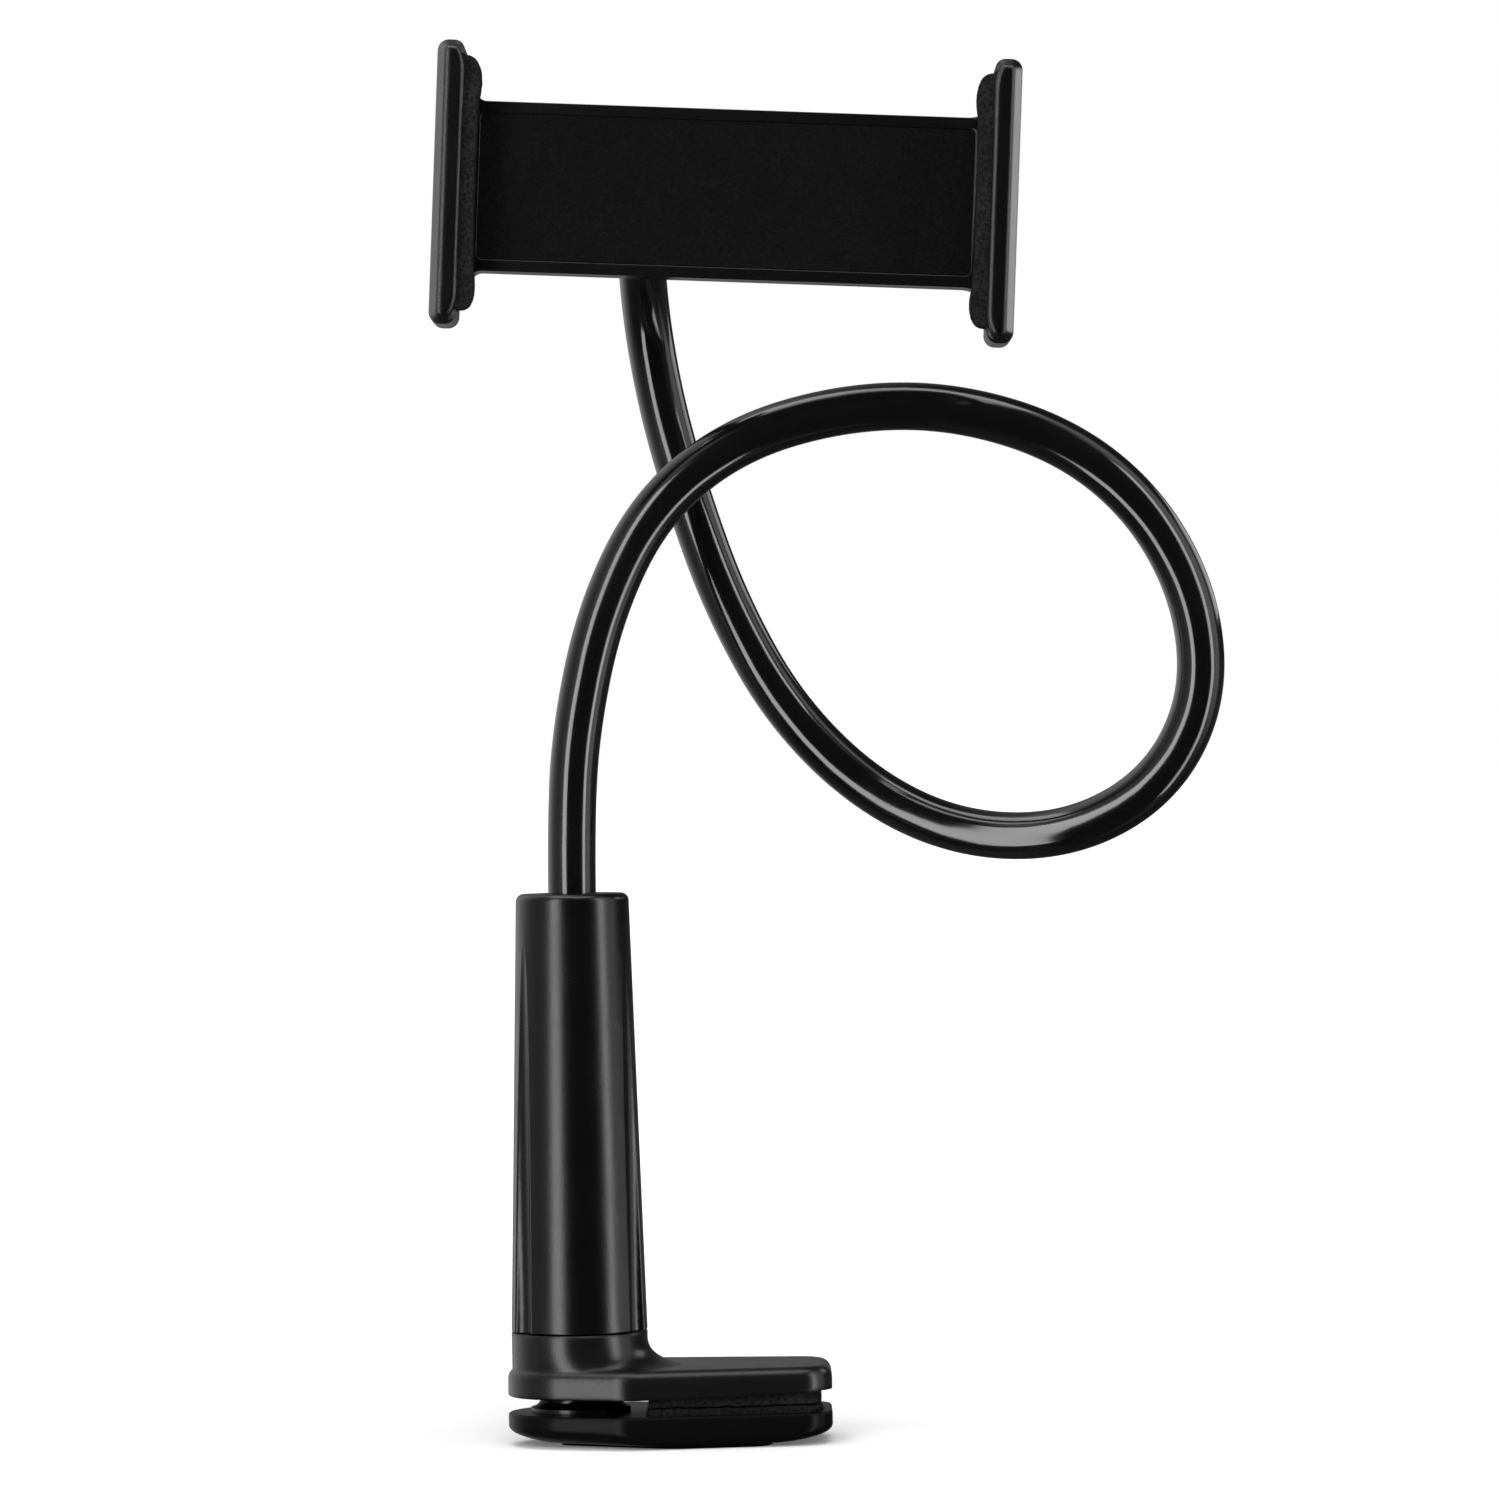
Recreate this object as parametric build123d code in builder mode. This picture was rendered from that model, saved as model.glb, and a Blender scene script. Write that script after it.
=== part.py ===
"""Phone gooseneck holder: a desk clamp, a bendable arm and a sprung phone bracket, in millimetres.

The origin is on the clamp's post, at the underside of the lower jaw. +X runs along the jaws,
+Y goes to the back of the holder and +Z up.
"""

import os
from math import acos, atan, cos, degrees, pi, radians, sin, sqrt, tan

from build123d import *

os.makedirs("parts", exist_ok=True)

# Clearances
RUNNING_GAP = 0.3  # between pieces that move on each other
SEAT_GAP = 0.1  # between pieces that are fixed to each other

# Clamp jaws, seen from above
JAW_HEEL_R = 18.1  # round end, about the post's axis
JAW_BELLY_R = 12.0  # corners where the tongue is widest
JAW_BELLY_X = 13.0
JAW_BELLY_HALF = 23.3  # half the width there
JAW_TIP_R = 9.0  # corners of the tip
JAW_TIP_HALF = 18.5  # half the tip's width
JAW_REACH = 62.8  # from the post's axis to the tip

# Lower jaw
LOWER_JAW_H = 8.2
LANDING_EDGE_H = 0.3  # upright edge of the flat that the holder stands on
HULL_SECTIONS = [  # height; heel, belly and tip, each drawn in; belly moved on, tip moved back
    (LANDING_EDGE_H, 12.4, 4.2, 1.6, 12.0, 13.5),
    (0.9, 9.1, 2.6, 1.0, 7.5, 9.2),
    (1.5, 6.1, 1.5, 0.6, 4.0, 5.4),
    (2.4, 3.3, 0.8, 0.3, 2.0, 2.5),
    (3.4, 1.2, 0.3, 0.1, 0.6, 0.8),
    (4.8, 0.0, 0.0, 0.0, 0.0, 0.0),
]
RIM_EDGE_R = 0.7

# Upper jaw
JAW_OPENING = 4.1  # between the jaws at the post, pads touching
TONGUE_RISE = 1.4  # the tongue's underside climbs by this much to its tip
TONGUE_RISE_START = 14.0
PLATE_T = 7.3
PLATE_EDGE_R = 3.0
COLLAR_R = 17.0
COLLAR_H = 8.5  # above the plate
COLLAR_FLARE = 9.0  # how far the collar runs out along the tongue
COLLAR_SIDE_FLARE = 0.8  # and to the sides
COLLAR_SECTIONS = [(-2.0, 1.8), (0.0, 1.0), (1.3, 0.48), (3.4, 0.14), (6.5, 0.0)]  # height, share of the flare

# Foam pads of the clamp
CLAMP_PAD_START = 17.0
CLAMP_PAD_INSET = 2.6  # from the jaws' outline
LOWER_PAD_T = 2.4
PAD_POCKET = 0.7

# Post, the clamp's screw
POST_R = 10.0
POST_HEADROOM = 10.6  # between its top and the ring under the plug
POST_BORE_R = 6.5
POST_SOLID_H = 13.0  # of the foot, below the bore
POST_FLARE_R = 2.5
POST_SPIGOT_R = 7.0
POST_SPIGOT_H = 2.8
POST_TOP_CHAMFER = 1.2
KEY_W = 3.0
KEY_DEPTH = 1.4
POST_SCREW_X = 4.2
POST_SCREW_R = 1.6
POST_SCREW_L = 15.0
POST_SCREW_HEAD_R = 3.1
POST_SCREW_HEAD_H = 2.0
POST_SCREW_SINK = 0.6  # the head lies this far inside the underside

# Swivel between upper jaw and grip sleeve
SPIGOT_R = 12.0
SPIGOT_H = 7.5
SNAP_RING_DEPTH = 0.7  # in the spigot and in the sleeve alike
SNAP_RING_T = 1.2
SNAP_RING_Z = 3.6  # above the collar
SNAP_RING_GAP_W = 3.0
WASHER_T = 1.0

# Grip sleeve
SLEEVE_L = 109.2
SLEEVE_FOOT_R = 17.0
SLEEVE_TOP_R = 14.1
SLEEVE_TOP_EDGE_R = 2.0
SLEEVE_FOOT_EDGE_R = 0.4
SLEEVE_TOP_WALL = 6.0
SLEEVE_MOUTH_R = 7.0
SLEEVE_MOUTH_CHAMFER = 0.8
FLUTE_COUNT = 3
FLUTE_R = 4.05
FLUTE_FLOOR_R = 14.4  # distance of the flute's floor from the axis
FLUTE_ANGLE = -27.0
FLUTE_SHOULDER_R = 0.8
FLUTE_DEPTHS = [1.0, 0.73, 0.46, 0.23, 0.1, 0.02]  # where its sections lie, as shares of its depth at the foot

# Swivel plug in the sleeve's top
PLUG_FLANGE_T = 4.8
PLUG_HUB_R = 6.9
PLUG_HUB_H = 4.4
PLUG_NECK_R = 6.6
PLUG_DOME_R = 5.0
RETAINER_T = 3.0

# Gooseneck
NECK_R = 6.0
NECK_ROOT_DROP = 1.0  # its pivot lies this far below the sleeve's top
NECK_LEAD = 16.0  # straight run out of the sleeve
NECK_BEND_SHARE = 0.45  # of the shorter run, taken by each bend
NECK_ROUTE = [
    (1.5, 0.5, 177.6),
    (8.1, 1.5, 207.5),
    (21.1, 3.0, 233.4),
    (42.0, 4.5, 250.3),
    (69.9, 6.0, 258.2),
    (97.7, 7.5, 258.2),
    (125.6, 9.0, 249.2),
    (145.9, 10.5, 232.2),
    (158.2, 12.5, 208.4),
    (159.7, 15.0, 183.0),
    (148.3, 18.0, 161.7),
    (126.6, 23.5, 149.7),
    (100.4, 32.0, 149.6),
    (76.0, 38.5, 160.6),
    (54.5, 40.5, 182.1),
    (40.0, 41.0, 209.1),
    (30.5, 41.0, 236.6),
    (23.5, 41.0, 263.1),
]

# Ball joint behind the bracket
BALL_R = 7.0
STUD_R = 3.0
STUD_DROP = 40.0  # degrees that the stud points below the socket's axis
STUD_LEAD = 36.5  # from the ball's centre to the neck's last bend
FERRULE_NOSE_R = 4.2
FERRULE_R = 7.0
FERRULE_NOSE_AT = 10.5  # from the ball's centre
FERRULE_FULL_AT = 13.6
FERRULE_BORE_AT = 14.5
FERRULE_L = 9.6
SEAT_FLOOR_T = 1.2  # of the nylon seat, behind the ball
SEAT_WALL_T = 2.0
SEAT_LIP = 2.3  # the seat reaches past the ball's centre
CUP_WALL_T = 2.0
CUP_FLOOR_T = 2.2
CUP_FOOT_R = 15.0
CUP_FOOT_H = 3.6
LOCK_RING_R = 14.6
LOCK_RING_LIP_T = 2.3
LOCK_RING_BACK = 1.0  # gap between the ring and the cup's foot
LOCK_MOUTH_INNER_R = 7.7
LOCK_MOUTH_OUTER_R = 9.5
LOCK_NOTCH_R = 1.7
LOCK_NOTCH_COUNT = 12
LOCK_NOTCH_DEPTH = 0.9

# Phone bracket, drawn looking at its front
HEAD_PLACE = (41.5, -20.0, 310.1)  # middle of the band's front
HEAD_ROLL = 3.0  # degrees, right end down
BAND_H = 42.0
BAND_DEPTH = 11.0
CRADLE_HALF = 61.5  # from the middle to each pad's face, jaws closed
JAW_PAD_PROUD = 3.7
SHELL_T = 6.8
SHELL_H = 70.0
SHELL_FRONT = 14.0  # jaw fronts, ahead of the band's front
SHELL_CORNER_R = 2.8
SHELL_EDGE_R = 0.9  # of the front's edges
SHELL_WALL = 2.0
SHELL_END_WALL = 3.6
LIP_T = 3.2
LIP_CUT_W = 3.2
LIP_CUT_H = 7.4
BEVEL_W = 2.2
BEVEL_DEPTH = 5.0
FIXED_FLARE = (6.0, 3.2)  # where the band runs into the fixed jaw
SLIDING_FLARE = (2.4, 1.4)  # and at the sliding jaw's end
FRONT_WALL = 2.8
PANEL_RIM = 2.8  # rim above and below the front pad
PANEL_END = 0.3
PANEL_RECESS = 1.3
PANEL_T = 0.9
PANEL_CORNER_R = 1.5

# Sliding jaw's tongue and its springs
SEAM_OVERLAP = 0.6  # the pad hides the seam between housing and sliding jaw by this much
CAVITY_WALL = 6.7  # of the housing, above and below the tongue
BRACKET_TONGUE_T = 4.0
BRACKET_TONGUE_END = 45.0
CAVITY_END = 57.5
SPRING_R = 1.6
SPRING_WIRE_R = 0.4
SPRING_ROOM = 1.1  # between a spring's loops and the guide beside it
SPRING_BACK = 9.1  # behind the band's front
SPRING_FROM = 10.0
SPRING_TO = 53.5
PEG_R = 1.2
PEG_BACK = 10.6

# Back cover
COVER_T = 2.0
COVER_MARGIN = 0.5
COVER_CORNER_R = 3.0
GUIDE_W = 1.4
GUIDE_INSET = 0.7  # from the tongue's edge
GUIDE_SPAN = (-57.0, 50.0)
COVER_SCREW_U = (-50.0, 4.0, 52.0)
COVER_SCREW_R = 1.1
COVER_SCREW_L = 6.0
COVER_SCREW_HEAD_R = 2.1
COVER_SCREW_HEAD_H = 0.9

# Cross recesses of all screws
SCREW_CROSS_SPAN = 0.62  # half its length, as a share of the head's radius
SCREW_CROSS_W = 0.3  # its width, as a share of the same
SCREW_RECESS_SHARE = 0.6  # of the head's height

# Place of the ball's socket on the bracket
SOCKET_U = -21.9
SOCKET_V = 2.0

# Heights that follow from the sizes above
upper_jaw_z = LOWER_JAW_H + JAW_OPENING
plate_top = upper_jaw_z + PLATE_T
collar_top = plate_top + COLLAR_H
sleeve_z = collar_top + RUNNING_GAP
sleeve_top = sleeve_z + SLEEVE_L
spigot_top = collar_top + SPIGOT_H
bore_r = POST_R + RUNNING_GAP
spigot_bore_r = SPIGOT_R + RUNNING_GAP
spigot_bore_top = spigot_top + WASHER_T + 2 * RUNNING_GAP
chamber_top = sleeve_top - SLEEVE_TOP_WALL
plug_flange_z = chamber_top - RUNNING_GAP - PLUG_FLANGE_T
retainer_z = plug_flange_z - RUNNING_GAP - RETAINER_T
post_top = retainer_z - POST_HEADROOM
pivot_z = sleeve_top - NECK_ROOT_DROP
dome_cup_r = PLUG_DOME_R + RUNNING_GAP
pad_floor = LOWER_JAW_H - PAD_POCKET
pad_seam = pad_floor + LOWER_PAD_T
jaw_span = 4 * JAW_BELLY_HALF  # longer than any jaw is wide, for cuts right through


def jaw_plan(heel_in=0.0, belly_in=0.0, tip_in=0.0, belly_on=0.0, tip_back=0.0):
    """Outline of a clamp jaw from above, in the open sketch, with its round corners drawn in or moved."""
    belly_x = JAW_BELLY_X + belly_on
    belly_y = JAW_BELLY_HALF - JAW_BELLY_R
    tip_x = JAW_REACH - JAW_TIP_R - tip_back
    tip_y = JAW_TIP_HALF - JAW_TIP_R
    Circle(JAW_HEEL_R - heel_in)
    with Locations((belly_x, belly_y), (belly_x, -belly_y)):
        Circle(JAW_BELLY_R - belly_in)
    with Locations((tip_x, tip_y), (tip_x, -tip_y)):
        Circle(JAW_TIP_R - tip_in)
    make_hull()


def pad_plan(inset):
    """Outline of a clamp pad from above, in the open sketch: the jaw's outline without its heel."""
    jaw_plan(inset, inset, inset)
    start = CLAMP_PAD_START + inset - CLAMP_PAD_INSET
    with Locations((start, 0)):
        Rectangle(jaw_span, jaw_span, align=(Align.MAX, Align.CENTER), mode=Mode.SUBTRACT)


# Lower jaw: a boat-shaped hull with a flat landing, under an upright rim
with BuildPart() as lower_jaw:
    with BuildSketch():
        jaw_plan(*HULL_SECTIONS[0][1:])
    extrude(amount=LANDING_EDGE_H)
    for hull_z, *changes in HULL_SECTIONS:
        with BuildSketch(Plane.XY.offset(hull_z)):
            jaw_plan(*changes)
    loft()
    hull_top = HULL_SECTIONS[-1][0]
    with BuildSketch(Plane.XY.offset(hull_top)):
        jaw_plan()
    extrude(amount=LOWER_JAW_H - hull_top)
    fillet(lower_jaw.faces().sort_by(Axis.Z)[-1].edges(), RIM_EDGE_R)
    with BuildSketch(Plane.XY.offset(pad_floor)):
        pad_plan(CLAMP_PAD_INSET - SEAT_GAP)
    extrude(amount=PAD_POCKET + LOWER_PAD_T, mode=Mode.SUBTRACT)
    with BuildSketch(Plane.XY.offset(LOWER_JAW_H - POST_SPIGOT_H - SEAT_GAP)):
        Circle(POST_SPIGOT_R + SEAT_GAP)
    extrude(amount=LOWER_JAW_H, mode=Mode.SUBTRACT)
    with BuildSketch():
        with Locations((POST_SCREW_X, 0), (-POST_SCREW_X, 0)):
            Circle(POST_SCREW_R + SEAT_GAP)
    extrude(amount=LOWER_JAW_H, mode=Mode.SUBTRACT)
    with BuildSketch():
        with Locations((POST_SCREW_X, 0), (-POST_SCREW_X, 0)):
            Circle(POST_SCREW_HEAD_R + SEAT_GAP)
    extrude(amount=POST_SCREW_SINK + POST_SCREW_HEAD_H, mode=Mode.SUBTRACT)

def cross_recess(head_r):
    """The cross in a screw's head, in the open sketch."""
    Rectangle(2 * SCREW_CROSS_SPAN * head_r, SCREW_CROSS_W * head_r)
    Rectangle(SCREW_CROSS_W * head_r, 2 * SCREW_CROSS_SPAN * head_r)


# Lower foam pad, in its pocket
with BuildPart() as lower_clamp_pad:
    with BuildSketch(Plane.XY.offset(pad_floor)):
        pad_plan(CLAMP_PAD_INSET)
    extrude(amount=LOWER_PAD_T)

# Clamp post: a hollow screw with a flared foot and a keyway down its back
post_foot_z = LOWER_JAW_H - POST_SPIGOT_H
post_bore_z = LOWER_JAW_H + POST_SOLID_H
flare_z = upper_jaw_z - POST_FLARE_R - RUNNING_GAP
flare_mid = POST_FLARE_R * (1 - sqrt(0.5))
with BuildPart() as clamp_post:
    with BuildSketch(Plane.XZ):
        with BuildLine():
            Polyline(
                (0, post_foot_z),
                (POST_SPIGOT_R, post_foot_z),
                (POST_SPIGOT_R, LOWER_JAW_H),
                (POST_R + POST_FLARE_R, LOWER_JAW_H),
                (POST_R + POST_FLARE_R, flare_z),
            )
            ThreePointArc(
                (POST_R + POST_FLARE_R, flare_z),
                (POST_R + flare_mid, flare_z + flare_mid),
                (POST_R, flare_z + POST_FLARE_R),
            )
            Polyline(
                (POST_R, flare_z + POST_FLARE_R),
                (POST_R, post_top - POST_TOP_CHAMFER),
                (POST_R - POST_TOP_CHAMFER, post_top),
                (POST_BORE_R, post_top),
                (POST_BORE_R, post_bore_z),
                (0, post_bore_z),
                (0, post_foot_z),
            )
        make_face()
    revolve(axis=Axis.Z)
    with BuildSketch(Plane.XY.offset(flare_z + POST_FLARE_R)):
        with Locations((0, POST_R - KEY_DEPTH - RUNNING_GAP)):
            Rectangle(KEY_W + 2 * RUNNING_GAP, POST_R, align=(Align.CENTER, Align.MIN))
    extrude(amount=post_top, mode=Mode.SUBTRACT)
    with BuildSketch(Plane.XY.offset(post_foot_z)):
        with Locations((POST_SCREW_X, 0), (-POST_SCREW_X, 0)):
            Circle(POST_SCREW_R + SEAT_GAP)
    extrude(amount=POST_SCREW_SINK + POST_SCREW_HEAD_H + POST_SCREW_L - post_foot_z, mode=Mode.SUBTRACT)

# Two screws that hold the post from below
with BuildPart() as post_screws:
    with BuildSketch(Plane.XY.offset(POST_SCREW_SINK)):
        with Locations((POST_SCREW_X, 0), (-POST_SCREW_X, 0)):
            Circle(POST_SCREW_HEAD_R)
    extrude(amount=POST_SCREW_HEAD_H)
    with BuildSketch(Plane.XY.offset(POST_SCREW_SINK)):
        with Locations((POST_SCREW_X, 0), (-POST_SCREW_X, 0)):
            cross_recess(POST_SCREW_HEAD_R)
    extrude(amount=SCREW_RECESS_SHARE * POST_SCREW_HEAD_H, mode=Mode.SUBTRACT)
    with BuildSketch(Plane.XY.offset(POST_SCREW_SINK + POST_SCREW_HEAD_H)):
        with Locations((POST_SCREW_X, 0), (-POST_SCREW_X, 0)):
            Circle(POST_SCREW_R)
    extrude(amount=POST_SCREW_L - SEAT_GAP)

# Flange plate of the upper jaw, with a rounded top edge
with BuildPart() as plate:
    with BuildSketch(Plane.XY.offset(upper_jaw_z)):
        jaw_plan()
    extrude(amount=PLATE_T)
    fillet(plate.faces().sort_by(Axis.Z)[-1].edges(), PLATE_EDGE_R)
    fillet(plate.faces().sort_by(Axis.Z)[0].edges(), RIM_EDGE_R)

# Upper jaw: plate, collar that runs out along the tongue, and a spigot that the sleeve turns on
groove_z = collar_top + SNAP_RING_Z
with BuildPart() as upper_jaw:
    for rise, share in [*COLLAR_SECTIONS, (COLLAR_H, 0.0)]:
        reach = COLLAR_FLARE * share
        with BuildSketch(Plane.XY.offset(plate_top + rise)):
            with Locations((reach / 2, 0)):
                Ellipse(COLLAR_R + reach / 2, COLLAR_R + COLLAR_SIDE_FLARE * share)
    loft()
    add(plate.part)
    with BuildSketch(Plane.XZ):
        with BuildLine():
            Polyline(
                (TONGUE_RISE_START, upper_jaw_z),
                (JAW_REACH, upper_jaw_z + TONGUE_RISE),
                (JAW_REACH + JAW_TIP_R, upper_jaw_z + TONGUE_RISE),
                (JAW_REACH + JAW_TIP_R, 0),
                (TONGUE_RISE_START, 0),
                close=True,
            )
        make_face()
    extrude(amount=jaw_span, both=True, mode=Mode.SUBTRACT)
    with BuildSketch(Plane.XY.offset(collar_top)):
        Circle(SPIGOT_R)
    extrude(amount=SPIGOT_H)
    with BuildSketch(Plane.XY.offset(groove_z)):
        Circle(SPIGOT_R)
        Circle(SPIGOT_R - SNAP_RING_DEPTH, mode=Mode.SUBTRACT)
    extrude(amount=SNAP_RING_T + 2 * SEAT_GAP, mode=Mode.SUBTRACT)
    with BuildSketch():
        Circle(bore_r)
    extrude(amount=spigot_top, mode=Mode.SUBTRACT)
    with BuildSketch(Plane.XY.offset(upper_jaw_z)):
        with Locations((0, POST_R - KEY_DEPTH)):
            Rectangle(KEY_W, KEY_DEPTH + 2 * RUNNING_GAP, align=(Align.CENTER, Align.MIN))
    extrude(amount=spigot_top - upper_jaw_z)

# Upper foam pad, under the tongue
with BuildPart() as upper_clamp_pad:
    with BuildSketch(Plane.XY.offset(pad_seam + RUNNING_GAP)):
        pad_plan(CLAMP_PAD_INSET)
    extrude(amount=JAW_OPENING + TONGUE_RISE)
    with BuildSketch(Plane.XZ):
        with BuildLine():
            Polyline(
                (TONGUE_RISE_START, upper_jaw_z),
                (JAW_REACH, upper_jaw_z + TONGUE_RISE),
                (JAW_REACH, 0),
                (TONGUE_RISE_START, 0),
                close=True,
            )
        make_face()
    extrude(amount=jaw_span, both=True, mode=Mode.INTERSECT)

# Snap ring that keeps the sleeve on the spigot
with BuildPart() as snap_ring:
    with BuildSketch(Plane.XY.offset(groove_z + SEAT_GAP)):
        Circle(spigot_bore_r + SNAP_RING_DEPTH - RUNNING_GAP)
        Circle(SPIGOT_R - SNAP_RING_DEPTH + SEAT_GAP, mode=Mode.SUBTRACT)
        Rectangle(2 * SLEEVE_FOOT_R, SNAP_RING_GAP_W, align=(Align.MIN, Align.CENTER), mode=Mode.SUBTRACT)
    extrude(amount=SNAP_RING_T)

# Thrust washer on top of the spigot
with BuildPart() as thrust_washer:
    with BuildSketch(Plane.XY.offset(spigot_top + RUNNING_GAP)):
        Circle(SPIGOT_R)
        Circle(bore_r, mode=Mode.SUBTRACT)
    extrude(amount=WASHER_T)

def flute_cutter():
    """A flute with an upright floor that the taper leaves behind, and shoulders that run into the skin."""
    middle = FLUTE_FLOOR_R + FLUTE_R
    centre = Vector(middle, 0)
    with BuildPart() as cutter:
        for share in FLUTE_DEPTHS:
            skin_r = FLUTE_FLOOR_R + share * (SLEEVE_FOOT_R - FLUTE_FLOOR_R)
            section_z = sleeve_z + SLEEVE_L * (SLEEVE_FOOT_R - skin_r) / (SLEEVE_FOOT_R - SLEEVE_TOP_R)
            inner = skin_r - FLUTE_SHOULDER_R
            reach = FLUTE_R + FLUTE_SHOULDER_R
            swing = acos((middle**2 + inner**2 - reach**2) / (2 * middle * inner))
            shoulder = Vector(inner * cos(swing), inner * sin(swing))
            edge = Vector(skin_r * cos(swing), skin_r * sin(swing))
            meet = shoulder + (centre - shoulder).normalized() * FLUTE_SHOULDER_R
            crest = shoulder + (edge + meet - shoulder * 2).normalized() * FLUTE_SHOULDER_R
            outside = edge * (1 + FLUTE_R / skin_r)
            with BuildSketch(Plane.XY.offset(section_z)):
                with BuildLine():
                    ThreePointArc(edge, crest, meet)
                    ThreePointArc(meet, (FLUTE_FLOOR_R, 0), (meet.X, -meet.Y))
                    ThreePointArc((meet.X, -meet.Y), (crest.X, -crest.Y), (edge.X, -edge.Y))
                    Polyline((edge.X, -edge.Y), (outside.X, -outside.Y), (outside.X, outside.Y), (edge.X, edge.Y))
                make_face()
        loft()
    return cutter.part


# Grip sleeve, the clamp's nut: tapered, with three flutes that die out near the top
with BuildPart() as grip_sleeve:
    with BuildSketch(Plane.XZ):
        with BuildLine():
            Polyline(
                (0, sleeve_z),
                (SLEEVE_FOOT_R, sleeve_z),
                (SLEEVE_TOP_R, sleeve_top),
                (0, sleeve_top),
                close=True,
            )
        make_face()
        fillet(vertices().filter_by(lambda v: v.X > SLEEVE_TOP_R / 2).sort_by(Axis.Y)[-1], SLEEVE_TOP_EDGE_R)
        fillet(vertices().filter_by(lambda v: v.X > SLEEVE_TOP_R / 2).sort_by(Axis.Y)[0], SLEEVE_FOOT_EDGE_R)
    revolve(axis=Axis.Z)
    with PolarLocations(0, FLUTE_COUNT, start_angle=FLUTE_ANGLE):
        add(flute_cutter(), mode=Mode.SUBTRACT)
    with BuildSketch(Plane.XY.offset(sleeve_z)):
        Circle(spigot_bore_r)
    extrude(amount=spigot_bore_top - sleeve_z, mode=Mode.SUBTRACT)
    with BuildSketch(Plane.XY.offset(groove_z)):
        Circle(spigot_bore_r + SNAP_RING_DEPTH)
    extrude(amount=SNAP_RING_T + 2 * SEAT_GAP, mode=Mode.SUBTRACT)
    with BuildSketch(Plane.XY.offset(sleeve_z)):
        Circle(bore_r)
    extrude(amount=chamber_top - sleeve_z, mode=Mode.SUBTRACT)
    with BuildSketch(Plane.XY.offset(chamber_top)):
        Circle(SLEEVE_MOUTH_R)
    extrude(amount=SLEEVE_TOP_WALL, mode=Mode.SUBTRACT)
    mouth = grip_sleeve.edges().filter_by(GeomType.CIRCLE).group_by(Axis.Z)[-1].sort_by(SortBy.RADIUS)[0]
    chamfer(mouth, SLEEVE_MOUTH_CHAMFER)

# Ring pressed into the sleeve under the plug
with BuildPart() as plug_retainer:
    with BuildSketch(Plane.XY.offset(retainer_z)):
        Circle(bore_r - SEAT_GAP)
        Circle(PLUG_HUB_R + RUNNING_GAP, mode=Mode.SUBTRACT)
    extrude(amount=RETAINER_T)

# Swivel plug: a flange held between retainer and sleeve, with a dome that carries the neck
dome_foot_z = pivot_z - NECK_R * sin(radians(20)) - RUNNING_GAP
dome_foot_r = sqrt(PLUG_DOME_R**2 - (pivot_z - dome_foot_z) ** 2)
with BuildPart() as neck_plug:
    with BuildSketch(Plane.XZ):
        with BuildLine():
            Polyline(
                (0, pivot_z + PLUG_DOME_R),
                (0, plug_flange_z - PLUG_HUB_H),
                (PLUG_HUB_R, plug_flange_z - PLUG_HUB_H),
                (PLUG_HUB_R, plug_flange_z),
                (bore_r - RUNNING_GAP, plug_flange_z),
                (bore_r - RUNNING_GAP, plug_flange_z + PLUG_FLANGE_T),
                (PLUG_NECK_R, plug_flange_z + PLUG_FLANGE_T),
                (PLUG_NECK_R, dome_foot_z),
                (dome_foot_r, dome_foot_z),
            )
            ThreePointArc(
                (dome_foot_r, dome_foot_z),
                (PLUG_DOME_R * cos(radians(30)), pivot_z + PLUG_DOME_R * sin(radians(30))),
                (0, pivot_z + PLUG_DOME_R),
            )
        make_face()
    revolve(axis=Axis.Z)

# Frame of the phone bracket: x to the right, y up, z towards the front
roll = radians(HEAD_ROLL)
head = Plane(origin=HEAD_PLACE, x_dir=(cos(roll), 0, -sin(roll)), z_dir=(0, -1, 0))
ball_back = BAND_DEPTH + COVER_T + CUP_FLOOR_T + SEAT_FLOOR_T + BALL_R + 2 * RUNNING_GAP
ball = head.from_local_coords(Vector(SOCKET_U, SOCKET_V, -ball_back))
stud_way = Vector(0, cos(radians(STUD_DROP)), -sin(radians(STUD_DROP)))
stud_side = Plane(origin=ball, x_dir=(1, 0, 0), z_dir=Vector(1, 0, 0).cross(stud_way))
socket_side = Plane(origin=ball, x_dir=(1, 0, 0), z_dir=(0, 0, 1))
stud_axis = Axis(ball, stud_way)
socket_axis = Axis(ball, (0, 1, 0))

# Gooseneck: straight runs joined by arcs, each as large as its runs allow
neck_tip = ball + stud_way * FERRULE_BORE_AT
route = [Vector(0, 0, pivot_z), Vector(0, 0, pivot_z + NECK_LEAD)]
route += [Vector(*point) for point in NECK_ROUTE]
route += [ball + stud_way * STUD_LEAD, neck_tip]
bend_radii = []
for before, corner, after in zip(route, route[1:], route[2:]):
    shorter = min((corner - before).length, (after - corner).length)
    turn = (corner - before).get_angle(after - corner)
    bend_radii.append(NECK_BEND_SHARE * shorter / tan(radians(turn / 2)))
print("neck bend radii:", [round(radius, 1) for radius in bend_radii])
with BuildPart() as gooseneck:
    with BuildLine() as neck_line:
        FilletPolyline(*route, radius=bend_radii)
    with BuildSketch(Plane(origin=route[0], z_dir=(0, 0, 1))):
        Circle(NECK_R)
    sweep()
    swept = pi * NECK_R**2 * neck_line.wires()[0].length
    print("neck volume over section times length:", gooseneck.part.volume / swept)
    with Locations(Location((0, 0, pivot_z))):
        Sphere(dome_cup_r, mode=Mode.SUBTRACT)

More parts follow.
